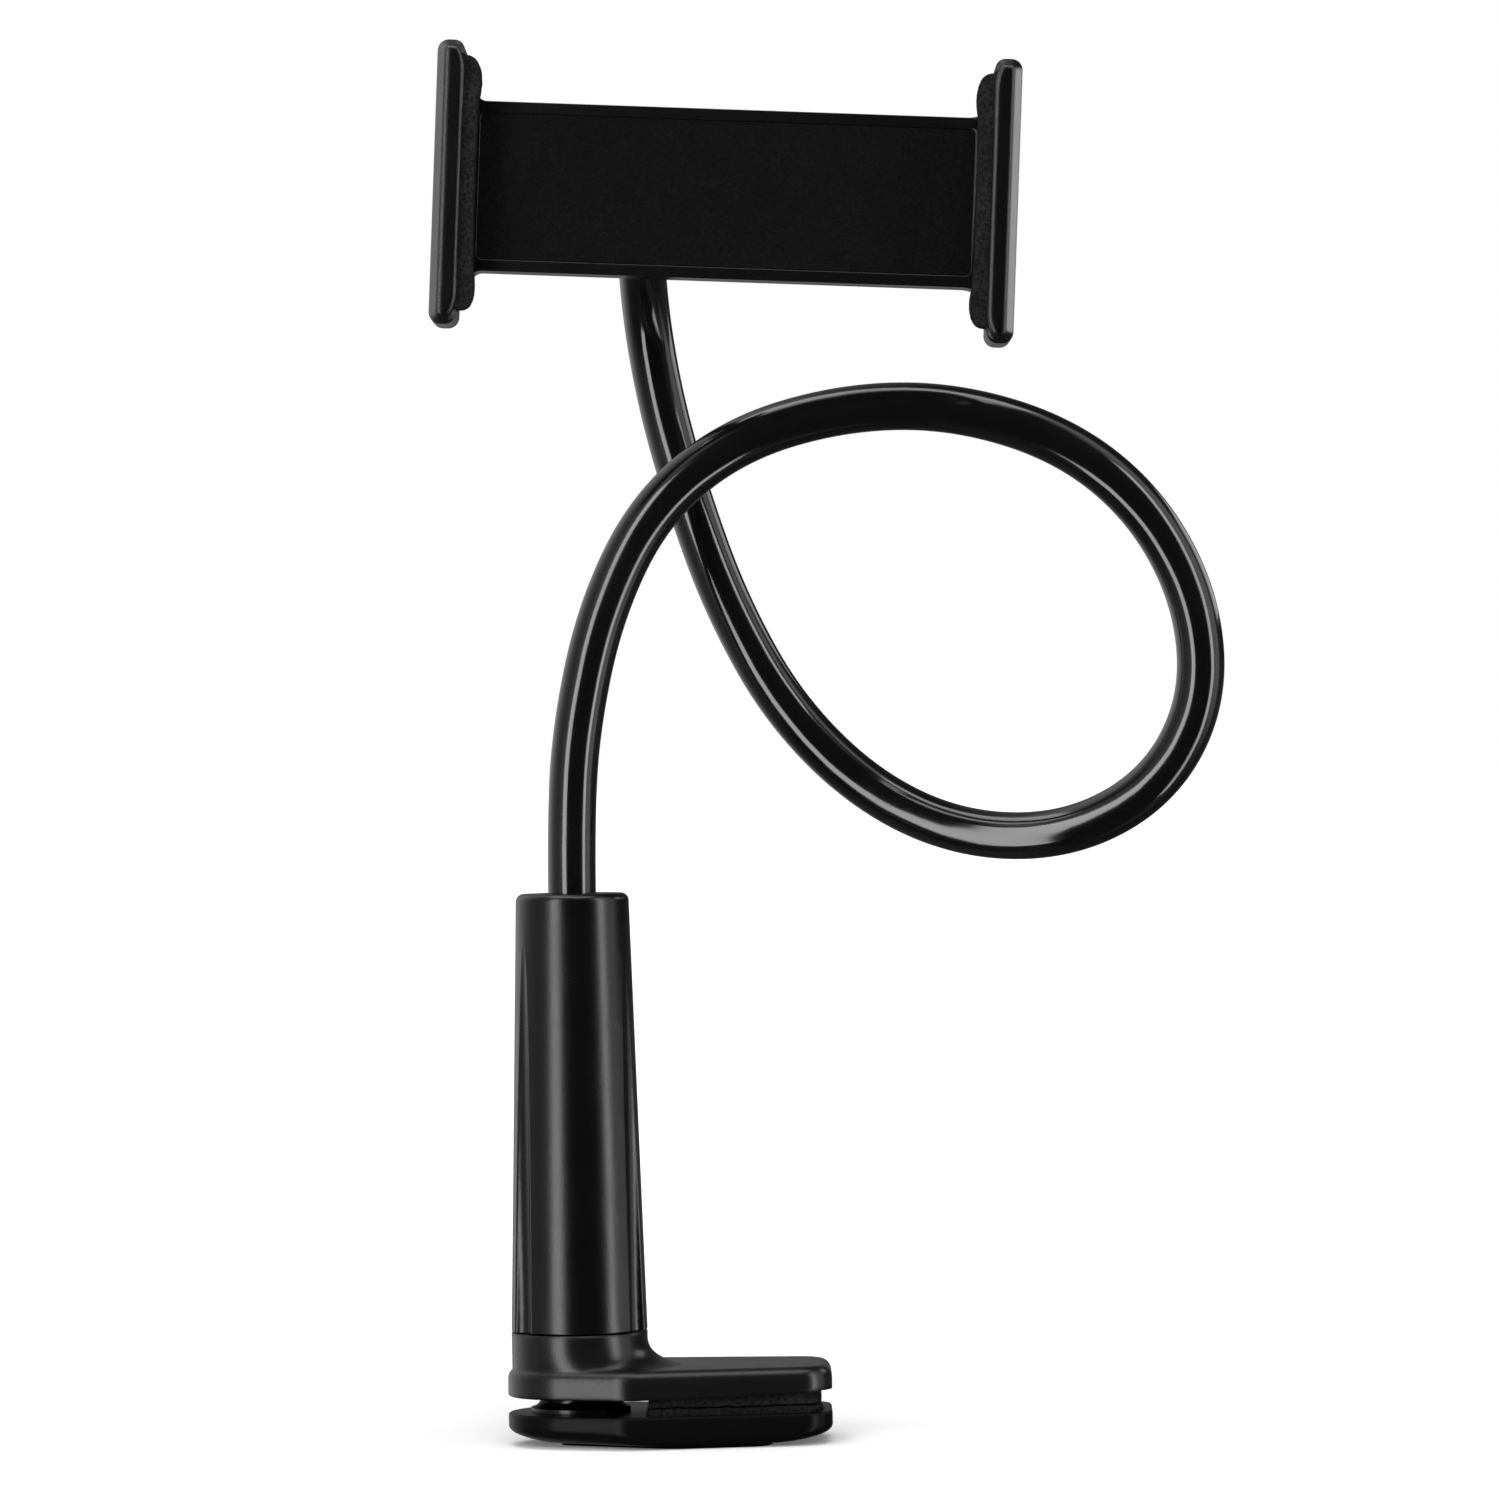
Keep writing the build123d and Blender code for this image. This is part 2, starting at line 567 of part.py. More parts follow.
# Ferrule on the neck's tip
with BuildPart() as tip_ferrule:
    with BuildSketch(stud_side):
        with BuildLine():
            Polyline(
                (STUD_R + SEAT_GAP, FERRULE_NOSE_AT),
                (FERRULE_NOSE_R, FERRULE_NOSE_AT),
                (FERRULE_R, FERRULE_FULL_AT),
                (FERRULE_R, FERRULE_NOSE_AT + FERRULE_L),
                (NECK_R + SEAT_GAP, FERRULE_NOSE_AT + FERRULE_L),
                (NECK_R + SEAT_GAP, FERRULE_BORE_AT),
                (STUD_R + SEAT_GAP, FERRULE_BORE_AT),
                close=True,
            )
        make_face()
    revolve(axis=stud_axis)

# Ball stud, fixed in the ferrule
with BuildPart() as ball_stud:
    with Locations(Location(ball)):
        Sphere(BALL_R)
    with BuildSketch(Plane(origin=ball, x_dir=(1, 0, 0), z_dir=stud_way)):
        Circle(STUD_R)
    extrude(amount=FERRULE_BORE_AT - SEAT_GAP)

# Nylon seat round the ball
seat_cup_r = BALL_R + RUNNING_GAP
seat_r = seat_cup_r + SEAT_WALL_T
seat_back = -(BALL_R + RUNNING_GAP + SEAT_FLOOR_T)
with BuildPart() as ball_seat:
    with BuildSketch(socket_side):
        with Locations((0, seat_back)):
            Rectangle(seat_r, SEAT_LIP - seat_back, align=(Align.MIN, Align.MIN))
    revolve(axis=socket_axis)
    with Locations(Location(ball)):
        Sphere(seat_cup_r, mode=Mode.SUBTRACT)

# Knurled ring that locks the ball
cup_bore_r = seat_r + RUNNING_GAP
cup_r = cup_bore_r + CUP_WALL_T
cover_back = seat_back - RUNNING_GAP - CUP_FLOOR_T  # back face of the cover, from the ball
ring_start = cover_back + CUP_FOOT_H + LOCK_RING_BACK
ring_lip = SEAT_LIP + RUNNING_GAP
with BuildPart() as lock_ring:
    with BuildSketch(socket_side):
        with BuildLine():
            Polyline(
                (cup_r + RUNNING_GAP, ring_start),
                (LOCK_RING_R, ring_start),
                (LOCK_RING_R, ring_lip + LOCK_RING_LIP_T),
                (LOCK_MOUTH_OUTER_R, ring_lip + LOCK_RING_LIP_T),
                (LOCK_MOUTH_INNER_R, ring_lip),
                (cup_r + RUNNING_GAP, ring_lip),
                close=True,
            )
        make_face()
    revolve(axis=socket_axis)
    with BuildSketch(Plane(origin=ball + Vector(0, ring_start, 0), x_dir=(1, 0, 0), z_dir=(0, 1, 0))):
        with PolarLocations(LOCK_RING_R + LOCK_NOTCH_R - LOCK_NOTCH_DEPTH, LOCK_NOTCH_COUNT):
            Circle(LOCK_NOTCH_R)
    extrude(amount=ring_lip + LOCK_RING_LIP_T - ring_start, mode=Mode.SUBTRACT)

# Bracket outlines
outer_half = CRADLE_HALF + JAW_PAD_PROUD + SHELL_T
shell_inner = outer_half - SHELL_T
seam = CRADLE_HALF + SEAM_OVERLAP
pad_pocket_half = SHELL_H / 2 - SHELL_END_WALL
band_half = BAND_H / 2
cavity_half = band_half - CAVITY_WALL
tongue_half = cavity_half - RUNNING_GAP
guide_v = tongue_half - GUIDE_INSET - GUIDE_W / 2
spring_loop_r = PEG_R + RUNNING_GAP + SPRING_WIRE_R
spring_v = guide_v - GUIDE_W / 2 - SPRING_ROOM - spring_loop_r - SPRING_WIRE_R
cover_screw_v = (band_half + cavity_half) / 2
cover_screw_places = [(u, v * cover_screw_v) for u in COVER_SCREW_U for v in (1, -1)]


def jaw_shell(side):
    """A padded jaw's shell: a bar with a bevel round its outside, a soft front lip and a pocket for the foam."""
    with BuildPart() as shell:
        with BuildSketch(head.offset(-BAND_DEPTH)):
            with Locations((side * shell_inner, 0)):
                RectangleRounded(2 * SHELL_T, SHELL_H, SHELL_CORNER_R)
        extrude(amount=BAND_DEPTH + SHELL_FRONT - BEVEL_DEPTH)
        with BuildSketch(head.offset(SHELL_FRONT - BEVEL_DEPTH)):
            with Locations((side * shell_inner, 0)):
                RectangleRounded(2 * SHELL_T, SHELL_H, SHELL_CORNER_R)
        extrude(amount=BEVEL_DEPTH, taper=degrees(atan(BEVEL_W / BEVEL_DEPTH)))
        with BuildSketch(head.offset(-BAND_DEPTH)):
            with Locations((side * (outer_half - SHELL_T / 2), 0)):
                RectangleRounded(SHELL_T, SHELL_H, SHELL_CORNER_R)
        extrude(amount=BAND_DEPTH + SHELL_FRONT, mode=Mode.INTERSECT)
        with BuildSketch(head.offset(SHELL_FRONT - LIP_T)):
            with Locations((side * (shell_inner + SHELL_T - SHELL_WALL) / 2, 0)):
                Rectangle(shell_inner + SHELL_T - SHELL_WALL, 2 * pad_pocket_half)
        extrude(amount=LIP_T - SHELL_FRONT, mode=Mode.SUBTRACT)
        with BuildSketch(head.offset(SHELL_FRONT)):
            for end in (1, -1):
                cut_start = (side * shell_inner, end * (SHELL_H / 2 - LIP_CUT_H))
                cut_end = (side * (shell_inner + LIP_CUT_W), end * SHELL_H / 2)
                with BuildLine():
                    TangentArc(cut_start, cut_end, tangent=(0, end))
                    Polyline(cut_end, (side * shell_inner, end * SHELL_H / 2), cut_start)
                make_face()
        extrude(amount=-LIP_T, mode=Mode.SUBTRACT)
        fillet(shell.faces().sort_by(Axis(HEAD_PLACE, (0, -1, 0)))[-1].edges(), SHELL_EDGE_R)
    return shell.part


def jaw_foam(side):
    """The foam in a jaw's pocket, standing proud of the lip."""
    with BuildPart() as foam:
        back = side * (outer_half - SHELL_WALL - SEAT_GAP)
        with BuildSketch(head.offset(SHELL_FRONT - LIP_T - SEAT_GAP)):
            with Locations(((back + side * CRADLE_HALF) / 2, 0)):
                Rectangle(abs(back) - CRADLE_HALF, 2 * (pad_pocket_half - SEAT_GAP))
        extrude(amount=LIP_T + 2 * SEAT_GAP - SHELL_FRONT)
    return foam.part


fixed_shell = jaw_shell(1)
sliding_shell = jaw_shell(-1)

# Housing of the bracket: the band and the fixed jaw, moulded in one
fixed_flare_w, fixed_flare_h = FIXED_FLARE
sliding_flare_w, sliding_flare_h = SLIDING_FLARE
with BuildPart() as bracket_housing:
    with BuildSketch(head):
        with BuildLine() as band_top:
            Line((-seam, 0), (-seam, band_half + sliding_flare_h))
            TangentArc(
                (sliding_flare_w - seam, band_half), (-seam, band_half + sliding_flare_h), tangent=(-1, 0)
            )
            Line((sliding_flare_w - seam, band_half), (shell_inner - fixed_flare_w, band_half))
            TangentArc(
                (shell_inner - fixed_flare_w, band_half),
                (shell_inner, band_half + fixed_flare_h),
                tangent=(1, 0),
            )
            Polyline(
                (shell_inner, band_half + fixed_flare_h),
                (outer_half - SHELL_WALL, band_half + fixed_flare_h),
                (outer_half - SHELL_WALL, 0),
                (-seam, 0),
            )
        make_face()
        mirror(about=Plane.XZ)
    extrude(amount=-BAND_DEPTH)
    with BuildSketch(head.offset(-FRONT_WALL)):
        with Locations(((CAVITY_END - seam) / 2, 0)):
            Rectangle(CAVITY_END + seam, 2 * cavity_half)
    extrude(amount=FRONT_WALL - BAND_DEPTH, mode=Mode.SUBTRACT)
    with BuildSketch(head):
        RectangleRounded(2 * (CRADLE_HALF - PANEL_END), BAND_H - 2 * PANEL_RIM, PANEL_CORNER_R)
    extrude(amount=-PANEL_RECESS, mode=Mode.SUBTRACT)
    with BuildSketch(head.offset(-FRONT_WALL)):
        with Locations((SPRING_TO, spring_v), (SPRING_TO, -spring_v)):
            Circle(PEG_R)
    extrude(amount=FRONT_WALL - PEG_BACK)
    with BuildSketch(head.offset(-BAND_DEPTH)):
        with Locations(*cover_screw_places):
            Circle(COVER_SCREW_R + SEAT_GAP)
    extrude(amount=COVER_SCREW_L, mode=Mode.SUBTRACT)
    add(fixed_shell)

# Front pad, in the band's recess
with BuildPart() as front_pad:
    with BuildSketch(head.offset(-PANEL_RECESS)):
        RectangleRounded(
            2 * (CRADLE_HALF - PANEL_END - SEAT_GAP), BAND_H - 2 * (PANEL_RIM + SEAT_GAP), PANEL_CORNER_R
        )
    extrude(amount=PANEL_T)

# Back cover, with guide ribs inside and the ball's cup outside
with BuildPart() as back_cover:
    with BuildSketch(head.offset(-BAND_DEPTH)):
        cover_left = COVER_MARGIN - seam
        cover_right = shell_inner - COVER_MARGIN
        with Locations(((cover_left + cover_right) / 2, 0)):
            RectangleRounded(cover_right - cover_left, BAND_H - 2 * COVER_MARGIN, COVER_CORNER_R)
    extrude(amount=-COVER_T)
    with BuildSketch(head.offset(-BAND_DEPTH)):
        with Locations((sum(GUIDE_SPAN) / 2, guide_v), (sum(GUIDE_SPAN) / 2, -guide_v)):
            Rectangle(GUIDE_SPAN[1] - GUIDE_SPAN[0], GUIDE_W)
    extrude(amount=BAND_DEPTH - FRONT_WALL - BRACKET_TONGUE_T - 2 * RUNNING_GAP)
    with BuildSketch(socket_side):
        with BuildLine():
            Polyline(
                (0, cover_back),
                (CUP_FOOT_R, cover_back),
                (cup_r, cover_back + CUP_FOOT_H),
                (cup_r, SEAT_LIP),
                (cup_bore_r, SEAT_LIP),
                (cup_bore_r, seat_back - RUNNING_GAP),
                (0, seat_back - RUNNING_GAP),
                close=True,
            )
        make_face()
    revolve(axis=socket_axis)
    with BuildSketch(head.offset(-BAND_DEPTH)):
        with Locations(*cover_screw_places):
            Circle(COVER_SCREW_R + SEAT_GAP)
    extrude(amount=-COVER_T, mode=Mode.SUBTRACT)
    with BuildSketch(head.offset(-BAND_DEPTH - COVER_T)):
        with Locations(*cover_screw_places):
            Circle(COVER_SCREW_HEAD_R + SEAT_GAP)
    extrude(amount=COVER_SCREW_HEAD_H, mode=Mode.SUBTRACT)

# Screws of the back cover
screw_head_back = BAND_DEPTH + COVER_T - COVER_SCREW_HEAD_H
with BuildPart() as cover_screws:
    with BuildSketch(head.offset(-screw_head_back)):
        with Locations(*cover_screw_places):
            Circle(COVER_SCREW_HEAD_R)
    extrude(amount=-COVER_SCREW_HEAD_H)
    with BuildSketch(head.offset(-screw_head_back - COVER_SCREW_HEAD_H)):
        with Locations(*cover_screw_places):
            cross_recess(COVER_SCREW_HEAD_R)
    extrude(amount=SCREW_RECESS_SHARE * COVER_SCREW_HEAD_H, mode=Mode.SUBTRACT)
    with BuildSketch(head.offset(-screw_head_back)):
        with Locations(*cover_screw_places):
            Circle(COVER_SCREW_R)
    extrude(amount=COVER_T - COVER_SCREW_HEAD_H + COVER_SCREW_L - SEAT_GAP)

# Foam of both jaws
with BuildPart() as fixed_jaw_pad:
    add(jaw_foam(1))
with BuildPart() as sliding_jaw_pad:
    add(jaw_foam(-1))

# Sliding jaw: shell, web and the tongue that runs in the housing
with BuildPart() as sliding_jaw:
    add(sliding_shell)
    with BuildSketch(head.offset(-SEAT_GAP)):
        web_outer = -(outer_half - SHELL_WALL)
        web_inner = -(seam + RUNNING_GAP)
        with Locations(((web_outer + web_inner) / 2, 0)):
            Rectangle(web_inner - web_outer, BAND_H + 2 * sliding_flare_h)
    extrude(amount=SEAT_GAP - BAND_DEPTH)
    with BuildSketch(head.offset(-FRONT_WALL - RUNNING_GAP)):
        with Locations(((web_outer + BRACKET_TONGUE_END) / 2, 0)):
            Rectangle(BRACKET_TONGUE_END - web_outer, 2 * tongue_half)
    extrude(amount=-BRACKET_TONGUE_T)
    with BuildSketch(head.offset(-FRONT_WALL - RUNNING_GAP - BRACKET_TONGUE_T)):
        with Locations((SPRING_FROM, spring_v), (SPRING_FROM, -spring_v)):
            Circle(PEG_R)
    extrude(amount=FRONT_WALL + RUNNING_GAP + BRACKET_TONGUE_T - PEG_BACK)


def jaw_spring(v):
    """A closed-wound spring that draws the sliding jaw in, with a loop round a peg at each end."""
    body_start = SPRING_FROM + spring_loop_r - SPRING_WIRE_R / 2
    body_end = SPRING_TO - spring_loop_r + SPRING_WIRE_R / 2
    with BuildPart() as spring:
        start = head.from_local_coords(Vector(body_start, v, -SPRING_BACK))
        with BuildSketch(Plane(origin=start, x_dir=head.y_dir, z_dir=head.x_dir)):
            Circle(SPRING_R)
        extrude(amount=body_end - body_start)
        with BuildSketch(head.offset(-SPRING_BACK)):
            with Locations((SPRING_FROM, v), (SPRING_TO, v)):
                Circle(spring_loop_r + SPRING_WIRE_R)
            with Locations((SPRING_FROM, v), (SPRING_TO, v)):
                Circle(spring_loop_r - SPRING_WIRE_R, mode=Mode.SUBTRACT)
        extrude(amount=SPRING_WIRE_R, both=True)
    return spring.part


with BuildPart() as jaw_spring_upper:
    add(jaw_spring(spring_v))
with BuildPart() as jaw_spring_lower:
    add(jaw_spring(-spring_v))

pieces = {
    "lower_jaw": lower_jaw,
    "lower_clamp_pad": lower_clamp_pad,
    "clamp_post": clamp_post,
    "post_screws": post_screws,
    "upper_jaw": upper_jaw,
    "upper_clamp_pad": upper_clamp_pad,
    "snap_ring": snap_ring,
    "thrust_washer": thrust_washer,
    "grip_sleeve": grip_sleeve,
    "plug_retainer": plug_retainer,
    "neck_plug": neck_plug,
    "gooseneck": gooseneck,
    "tip_ferrule": tip_ferrule,
    "ball_stud": ball_stud,
    "ball_seat": ball_seat,
    "lock_ring": lock_ring,
    "bracket_housing": bracket_housing,
    "front_pad": front_pad,
    "back_cover": back_cover,
    "cover_screws": cover_screws,
    "fixed_jaw_pad": fixed_jaw_pad,
    "sliding_jaw": sliding_jaw,
    "sliding_jaw_pad": sliding_jaw_pad,
    "jaw_spring_upper": jaw_spring_upper,
    "jaw_spring_lower": jaw_spring_lower,
}
for name, piece in pieces.items():
    piece.part.label = name
    export_step(piece.part, f"parts/{name}.step")
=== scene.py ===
"""Looks of the phone gooseneck holder: pieces, finishes, light and camera round the solids, in metres."""

from math import asin, atan, copysign, cos, floor, pi, radians, sin, sqrt

import bmesh
import bpy
from mathutils import Matrix, Vector, noise


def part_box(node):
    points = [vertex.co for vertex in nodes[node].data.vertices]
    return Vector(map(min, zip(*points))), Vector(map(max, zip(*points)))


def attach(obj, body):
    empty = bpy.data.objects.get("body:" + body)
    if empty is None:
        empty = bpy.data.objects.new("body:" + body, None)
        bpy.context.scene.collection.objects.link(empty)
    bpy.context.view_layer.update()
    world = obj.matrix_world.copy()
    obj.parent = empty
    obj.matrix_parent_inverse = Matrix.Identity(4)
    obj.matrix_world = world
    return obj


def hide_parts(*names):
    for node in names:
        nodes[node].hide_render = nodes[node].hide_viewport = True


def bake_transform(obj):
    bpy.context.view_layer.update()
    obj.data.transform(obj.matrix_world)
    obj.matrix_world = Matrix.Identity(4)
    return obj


MM = 0.001

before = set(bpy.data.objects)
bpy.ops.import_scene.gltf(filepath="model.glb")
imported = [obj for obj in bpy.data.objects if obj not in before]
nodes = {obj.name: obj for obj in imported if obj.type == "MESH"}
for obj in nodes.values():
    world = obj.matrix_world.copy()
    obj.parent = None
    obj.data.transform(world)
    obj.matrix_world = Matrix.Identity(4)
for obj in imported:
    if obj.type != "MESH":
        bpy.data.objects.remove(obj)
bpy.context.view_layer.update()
scene = bpy.context.scene
scene.view_settings.view_transform = "Standard"

# Sizes of the solids that the pieces here are fitted to, in mm
POST_R = 10.0
POST_FOOT_Z = 8.2
POST_FLARE_Z = 9.5
POST_FLARE_R = 2.5
POST_TOP_Z = 112.6
KEY_FLAT = 8.3
KEY_HALF_W = 1.8
THREAD_LEAD = 6.0
THREAD_STARTS = 2
THREAD_DEPTH = 0.9
NECK_R = 6.0
HEAD_PLACE = Vector((41.5, -20.0, 310.1))
HEAD_ROLL = radians(3)

# Where the arm's bend ends, and how far past its end the skin is split, in metres
BEND_END = (0, 0, 0.1906)
SPLIT_PAST = 0.001

# Route of the gooseneck, in mm
NECK_ROUTE = [
    (0.0, 0.0, 136.6),
    (0.0, 0.0, 152.6),
    (1.5, 0.5, 177.6),
    (8.1, 1.5, 207.5),
    (21.1, 3.0, 233.4),
    (42.0, 4.5, 250.3),
    (69.9, 6.0, 258.2),
    (97.7, 7.5, 258.2),
    (125.6, 9.0, 249.2),
    (145.9, 10.5, 232.2),
    (158.2, 12.5, 208.4),
    (159.7, 15.0, 183.0),
    (148.3, 18.0, 161.7),
    (126.6, 23.5, 149.7),
    (100.4, 32.0, 149.6),
    (76.0, 38.5, 160.6),
    (54.5, 40.5, 182.1),
    (40.0, 41.0, 209.1),
    (30.5, 41.0, 236.6),
    (23.5, 41.0, 263.1),
    (19.735, 31.96, 289.78),
    (19.735, 15.11, 303.92),
]

# Camera, level with the middle of the holder
EYE = Vector((0.0451, -1.8, 0.1726))
HALF_VIEW = 0.1875
VIEW_ROLL = radians(1)
camera_data = bpy.data.cameras.new("camera")
camera_data.angle = 2 * atan(HALF_VIEW / -EYE.y)
camera = bpy.data.objects.new("camera", camera_data)
scene.collection.objects.link(camera)
right = Vector((cos(VIEW_ROLL), 0, -sin(VIEW_ROLL)))
up = Vector((sin(VIEW_ROLL), 0, cos(VIEW_ROLL)))
back = right.cross(up)
camera.matrix_world = Matrix.Translation(EYE) @ Matrix((right, up, back)).transposed().to_4x4()
scene.camera = camera


def clamp(x):
    """A number kept between 0 and 1."""
    return min(max(x, 0.0), 1.0)


def new_piece(name, mesh, body, material):
    """A mesh object that rides on a body, or on none where no body is given."""
    piece = bpy.data.objects.new(name, mesh)
    scene.collection.objects.link(piece)
    mesh.materials.append(material)
    if body:
        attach(piece, body)
    return piece


def evaluated_mesh(thing):
    """The final mesh of a curve or of an object with modifiers."""
    bpy.context.view_layer.update()
    return bpy.data.meshes.new_from_object(thing.evaluated_get(bpy.context.evaluated_depsgraph_get()))


def grid_mesh(name, rows, closed_rows=True, caps=False):
    """A mesh from rows of points, joined in order, with an optional cap on each end."""
    count = len(rows[0])
    points = [point for row in rows for point in row]
    faces = []
    for r in range(len(rows) - 1):
        for c in range(count if closed_rows else count - 1):
            after = (c + 1) % count
            low, high = r * count, (r + 1) * count
            faces.append((low + c, low + after, high + after, high + c))
    if caps:
        faces.append(tuple(range(count - 1, -1, -1)))
        faces.append(tuple((len(rows) - 1) * count + c for c in range(count)))
    mesh = bpy.data.meshes.new(name)
    mesh.from_pydata(points, [], faces)
    mesh.validate()
    mesh.shade_smooth()
    return mesh


def material_nodes(name):
    """A new material with its node tree and its main shader."""
    material = bpy.data.materials.new(name)
    material.use_nodes = True
    tree = material.node_tree
    shader = tree.nodes["Principled BSDF"]
    return material, tree, shader


def add_node(tree, kind, inputs=None, **settings):
    """A node with its settings and its input values or links."""
    node = tree.nodes.new(kind)
    for key, value in settings.items():
        setattr(node, key, value)
    for key, value in (inputs or {}).items():
        if isinstance(value, bpy.types.NodeSocket):
            tree.links.new(value, node.inputs[key])
        else:
            node.inputs[key].default_value = value
    return node


def object_place(tree):
    """The place of a point on its object."""
    return add_node(tree, "ShaderNodeTexCoord").outputs["Object"]


def noise_texture(tree, place, scale, detail, roughness=0.5):
    """Noise at a place, with a scale per metre."""
    inputs = {"Vector": place, "Scale": scale, "Detail": detail, "Roughness": roughness}
    return add_node(tree, "ShaderNodeTexNoise", inputs).outputs["Fac"]


def map_range(tree, value, start, end, low, high):
    """A number that goes from low to high while a value goes from start to end."""
    inputs = {"Value": value, "From Min": start, "From Max": end, "To Min": low, "To Max": high}
    return add_node(tree, "ShaderNodeMapRange", inputs).outputs["Result"]


def combine(tree, operation, first, second):
    """Two numbers put together by one operation."""
    return add_node(tree, "ShaderNodeMath", {0: first, 1: second}, operation=operation).outputs[0]


def mix_colours(tree, factor, first, second):
    """A colour that goes from the first to the second with a factor."""
    inputs = {"Factor": factor, "A": (*first, 1), "B": (*second, 1)}
    return add_node(tree, "ShaderNodeMix", inputs, data_type="RGBA").outputs["Result"]


def mix_numbers(tree, factor, first, second):
    """A number that goes from the first to the second with a factor."""
    inputs = {"Factor": factor, "A": first, "B": second}
    return add_node(tree, "ShaderNodeMix", inputs, data_type="FLOAT").outputs["Result"]


def bumped(tree, height, depth, normal=None):
    """A normal made uneven by a height, to a depth in metres."""
    inputs = {"Height": height, "Strength": 1.0, "Distance": depth}
    if normal is not None:
        inputs["Normal"] = normal
    return add_node(tree, "ShaderNodeBump", inputs).outputs["Normal"]


# Most values of a noise lie between these
NOISE_LOW = 0.3
NOISE_HIGH = 0.7

# Plastic: its black, how its edges are rubbed, and where a soft edge begins, in metres
PLASTIC_BLACK = (0.002, 0.002, 0.0021)
PLASTIC_IOR = 1.5
WORN_NONE = 0.985
WORN_FULL = 0.8
WORN_GAIN = 1.8
WORN_LIFT = 0.002
BEVEL_SAMPLES = 6
SOFT_RUN = 0.002
CRISP_SHARE = 0.2


def moulded_plastic(
    name,
    colour,
    edge_r,
    shine=0.5,
    soft_from=None,
    roughness=0.25,
    spread=0.03,
    grain_scale=1500.0,
    grain_depth=0.00003,
):
    """Injection-moulded plastic: a fine spark-eroded grain, cloudy gloss and slightly paler rubbed edges.

    The edges look rounded by edge_r mm. Where soft_from is given, they do so only past that X.
    """
    material, tree, shader = material_nodes(name)
    place = object_place(tree)
    grain = noise_texture(tree, place, scale=grain_scale, detail=3.0, roughness=0.6)
    cloud = noise_texture(tree, place, scale=55.0, detail=4.0, roughness=0.55)
    gloss = map_range(tree, cloud, NOISE_LOW, NOISE_HIGH, roughness - spread, roughness + spread)
    tree.links.new(gloss, shader.inputs["Roughness"])
    radius = edge_r * MM
    if soft_from:
        along = add_node(tree, "ShaderNodeSeparateXYZ", {0: place}).outputs["X"]
        crisp = CRISP_SHARE * edge_r * MM
        radius = map_range(tree, along, soft_from - SOFT_RUN, soft_from, crisp, radius)
    rounded = add_node(tree, "ShaderNodeBevel", {"Radius": radius}, samples=BEVEL_SAMPLES).outputs["Normal"]
    true_normal = add_node(tree, "ShaderNodeNewGeometry").outputs["Normal"]
    facing = add_node(tree, "ShaderNodeVectorMath", {0: rounded, 1: true_normal}, operation="DOT_PRODUCT")
    worn = map_range(tree, facing.outputs["Value"], WORN_NONE, WORN_FULL, 0.0, 1.0)
    patchy = combine(tree, "MULTIPLY", worn, cloud)
    rubbed = [WORN_GAIN * c + WORN_LIFT for c in colour]
    tree.links.new(mix_colours(tree, patchy, colour, rubbed), shader.inputs["Base Color"])
    tree.links.new(bumped(tree, grain, grain_depth, rounded), shader.inputs["Normal"])
    shader.inputs["IOR"].default_value = PLASTIC_IOR
    shader.inputs["Specular IOR Level"].default_value = shine
    return material


# Skin of the arm: its colours, its gloss, and the depths of its waves and its grain in metres
SKIN_BLACK = (0.0022, 0.0022, 0.0023)
SKIN_BLOOM = (0.0045, 0.0045, 0.0047)
SKIN_ROUGH_LOW = 0.09
SKIN_ROUGH_HIGH = 0.16
SKIN_WAVE_DEPTH = 0.00012
SKIN_GRAIN_DEPTH = 0.000003
SKIN_IOR = 1.53


def glossy_skin(name):
    """Soft PVC over a wire core: deep black, very glossy, with slow waves and a faint bloom."""
    material, tree, shader = material_nodes(name)
    place = object_place(tree)
    waves = noise_texture(tree, place, scale=90.0, detail=1.0, roughness=0.4)
    fine = noise_texture(tree, place, scale=1400.0, detail=2.0, roughness=0.6)
    bloom = noise_texture(tree, place, scale=40.0, detail=5.0, roughness=0.6)
    gloss = map_range(tree, bloom, NOISE_LOW, NOISE_HIGH, SKIN_ROUGH_LOW, SKIN_ROUGH_HIGH)
    tree.links.new(gloss, shader.inputs["Roughness"])
    tree.links.new(mix_colours(tree, bloom, SKIN_BLACK, SKIN_BLOOM), shader.inputs["Base Color"])
    swell = bumped(tree, waves, SKIN_WAVE_DEPTH)
    tree.links.new(bumped(tree, fine, SKIN_GRAIN_DEPTH, swell), shader.inputs["Normal"])
    shader.inputs["IOR"].default_value = SKIN_IOR
    return material


# Foam and rubber: where a pore ends, the painted shade in the pores and the painted light on the walls
# between them, and the gloss
PORE_FLOOR = 0.1
PORE_RIM = 0.7
PORE_PAINTED_SHADE = 0.3
WALL_PAINTED_LIGHT = 2.6
FOAM_ROUGH_LOW = 0.78
FOAM_ROUGH_HIGH = 0.95
FOAM_SHINE = 0.12


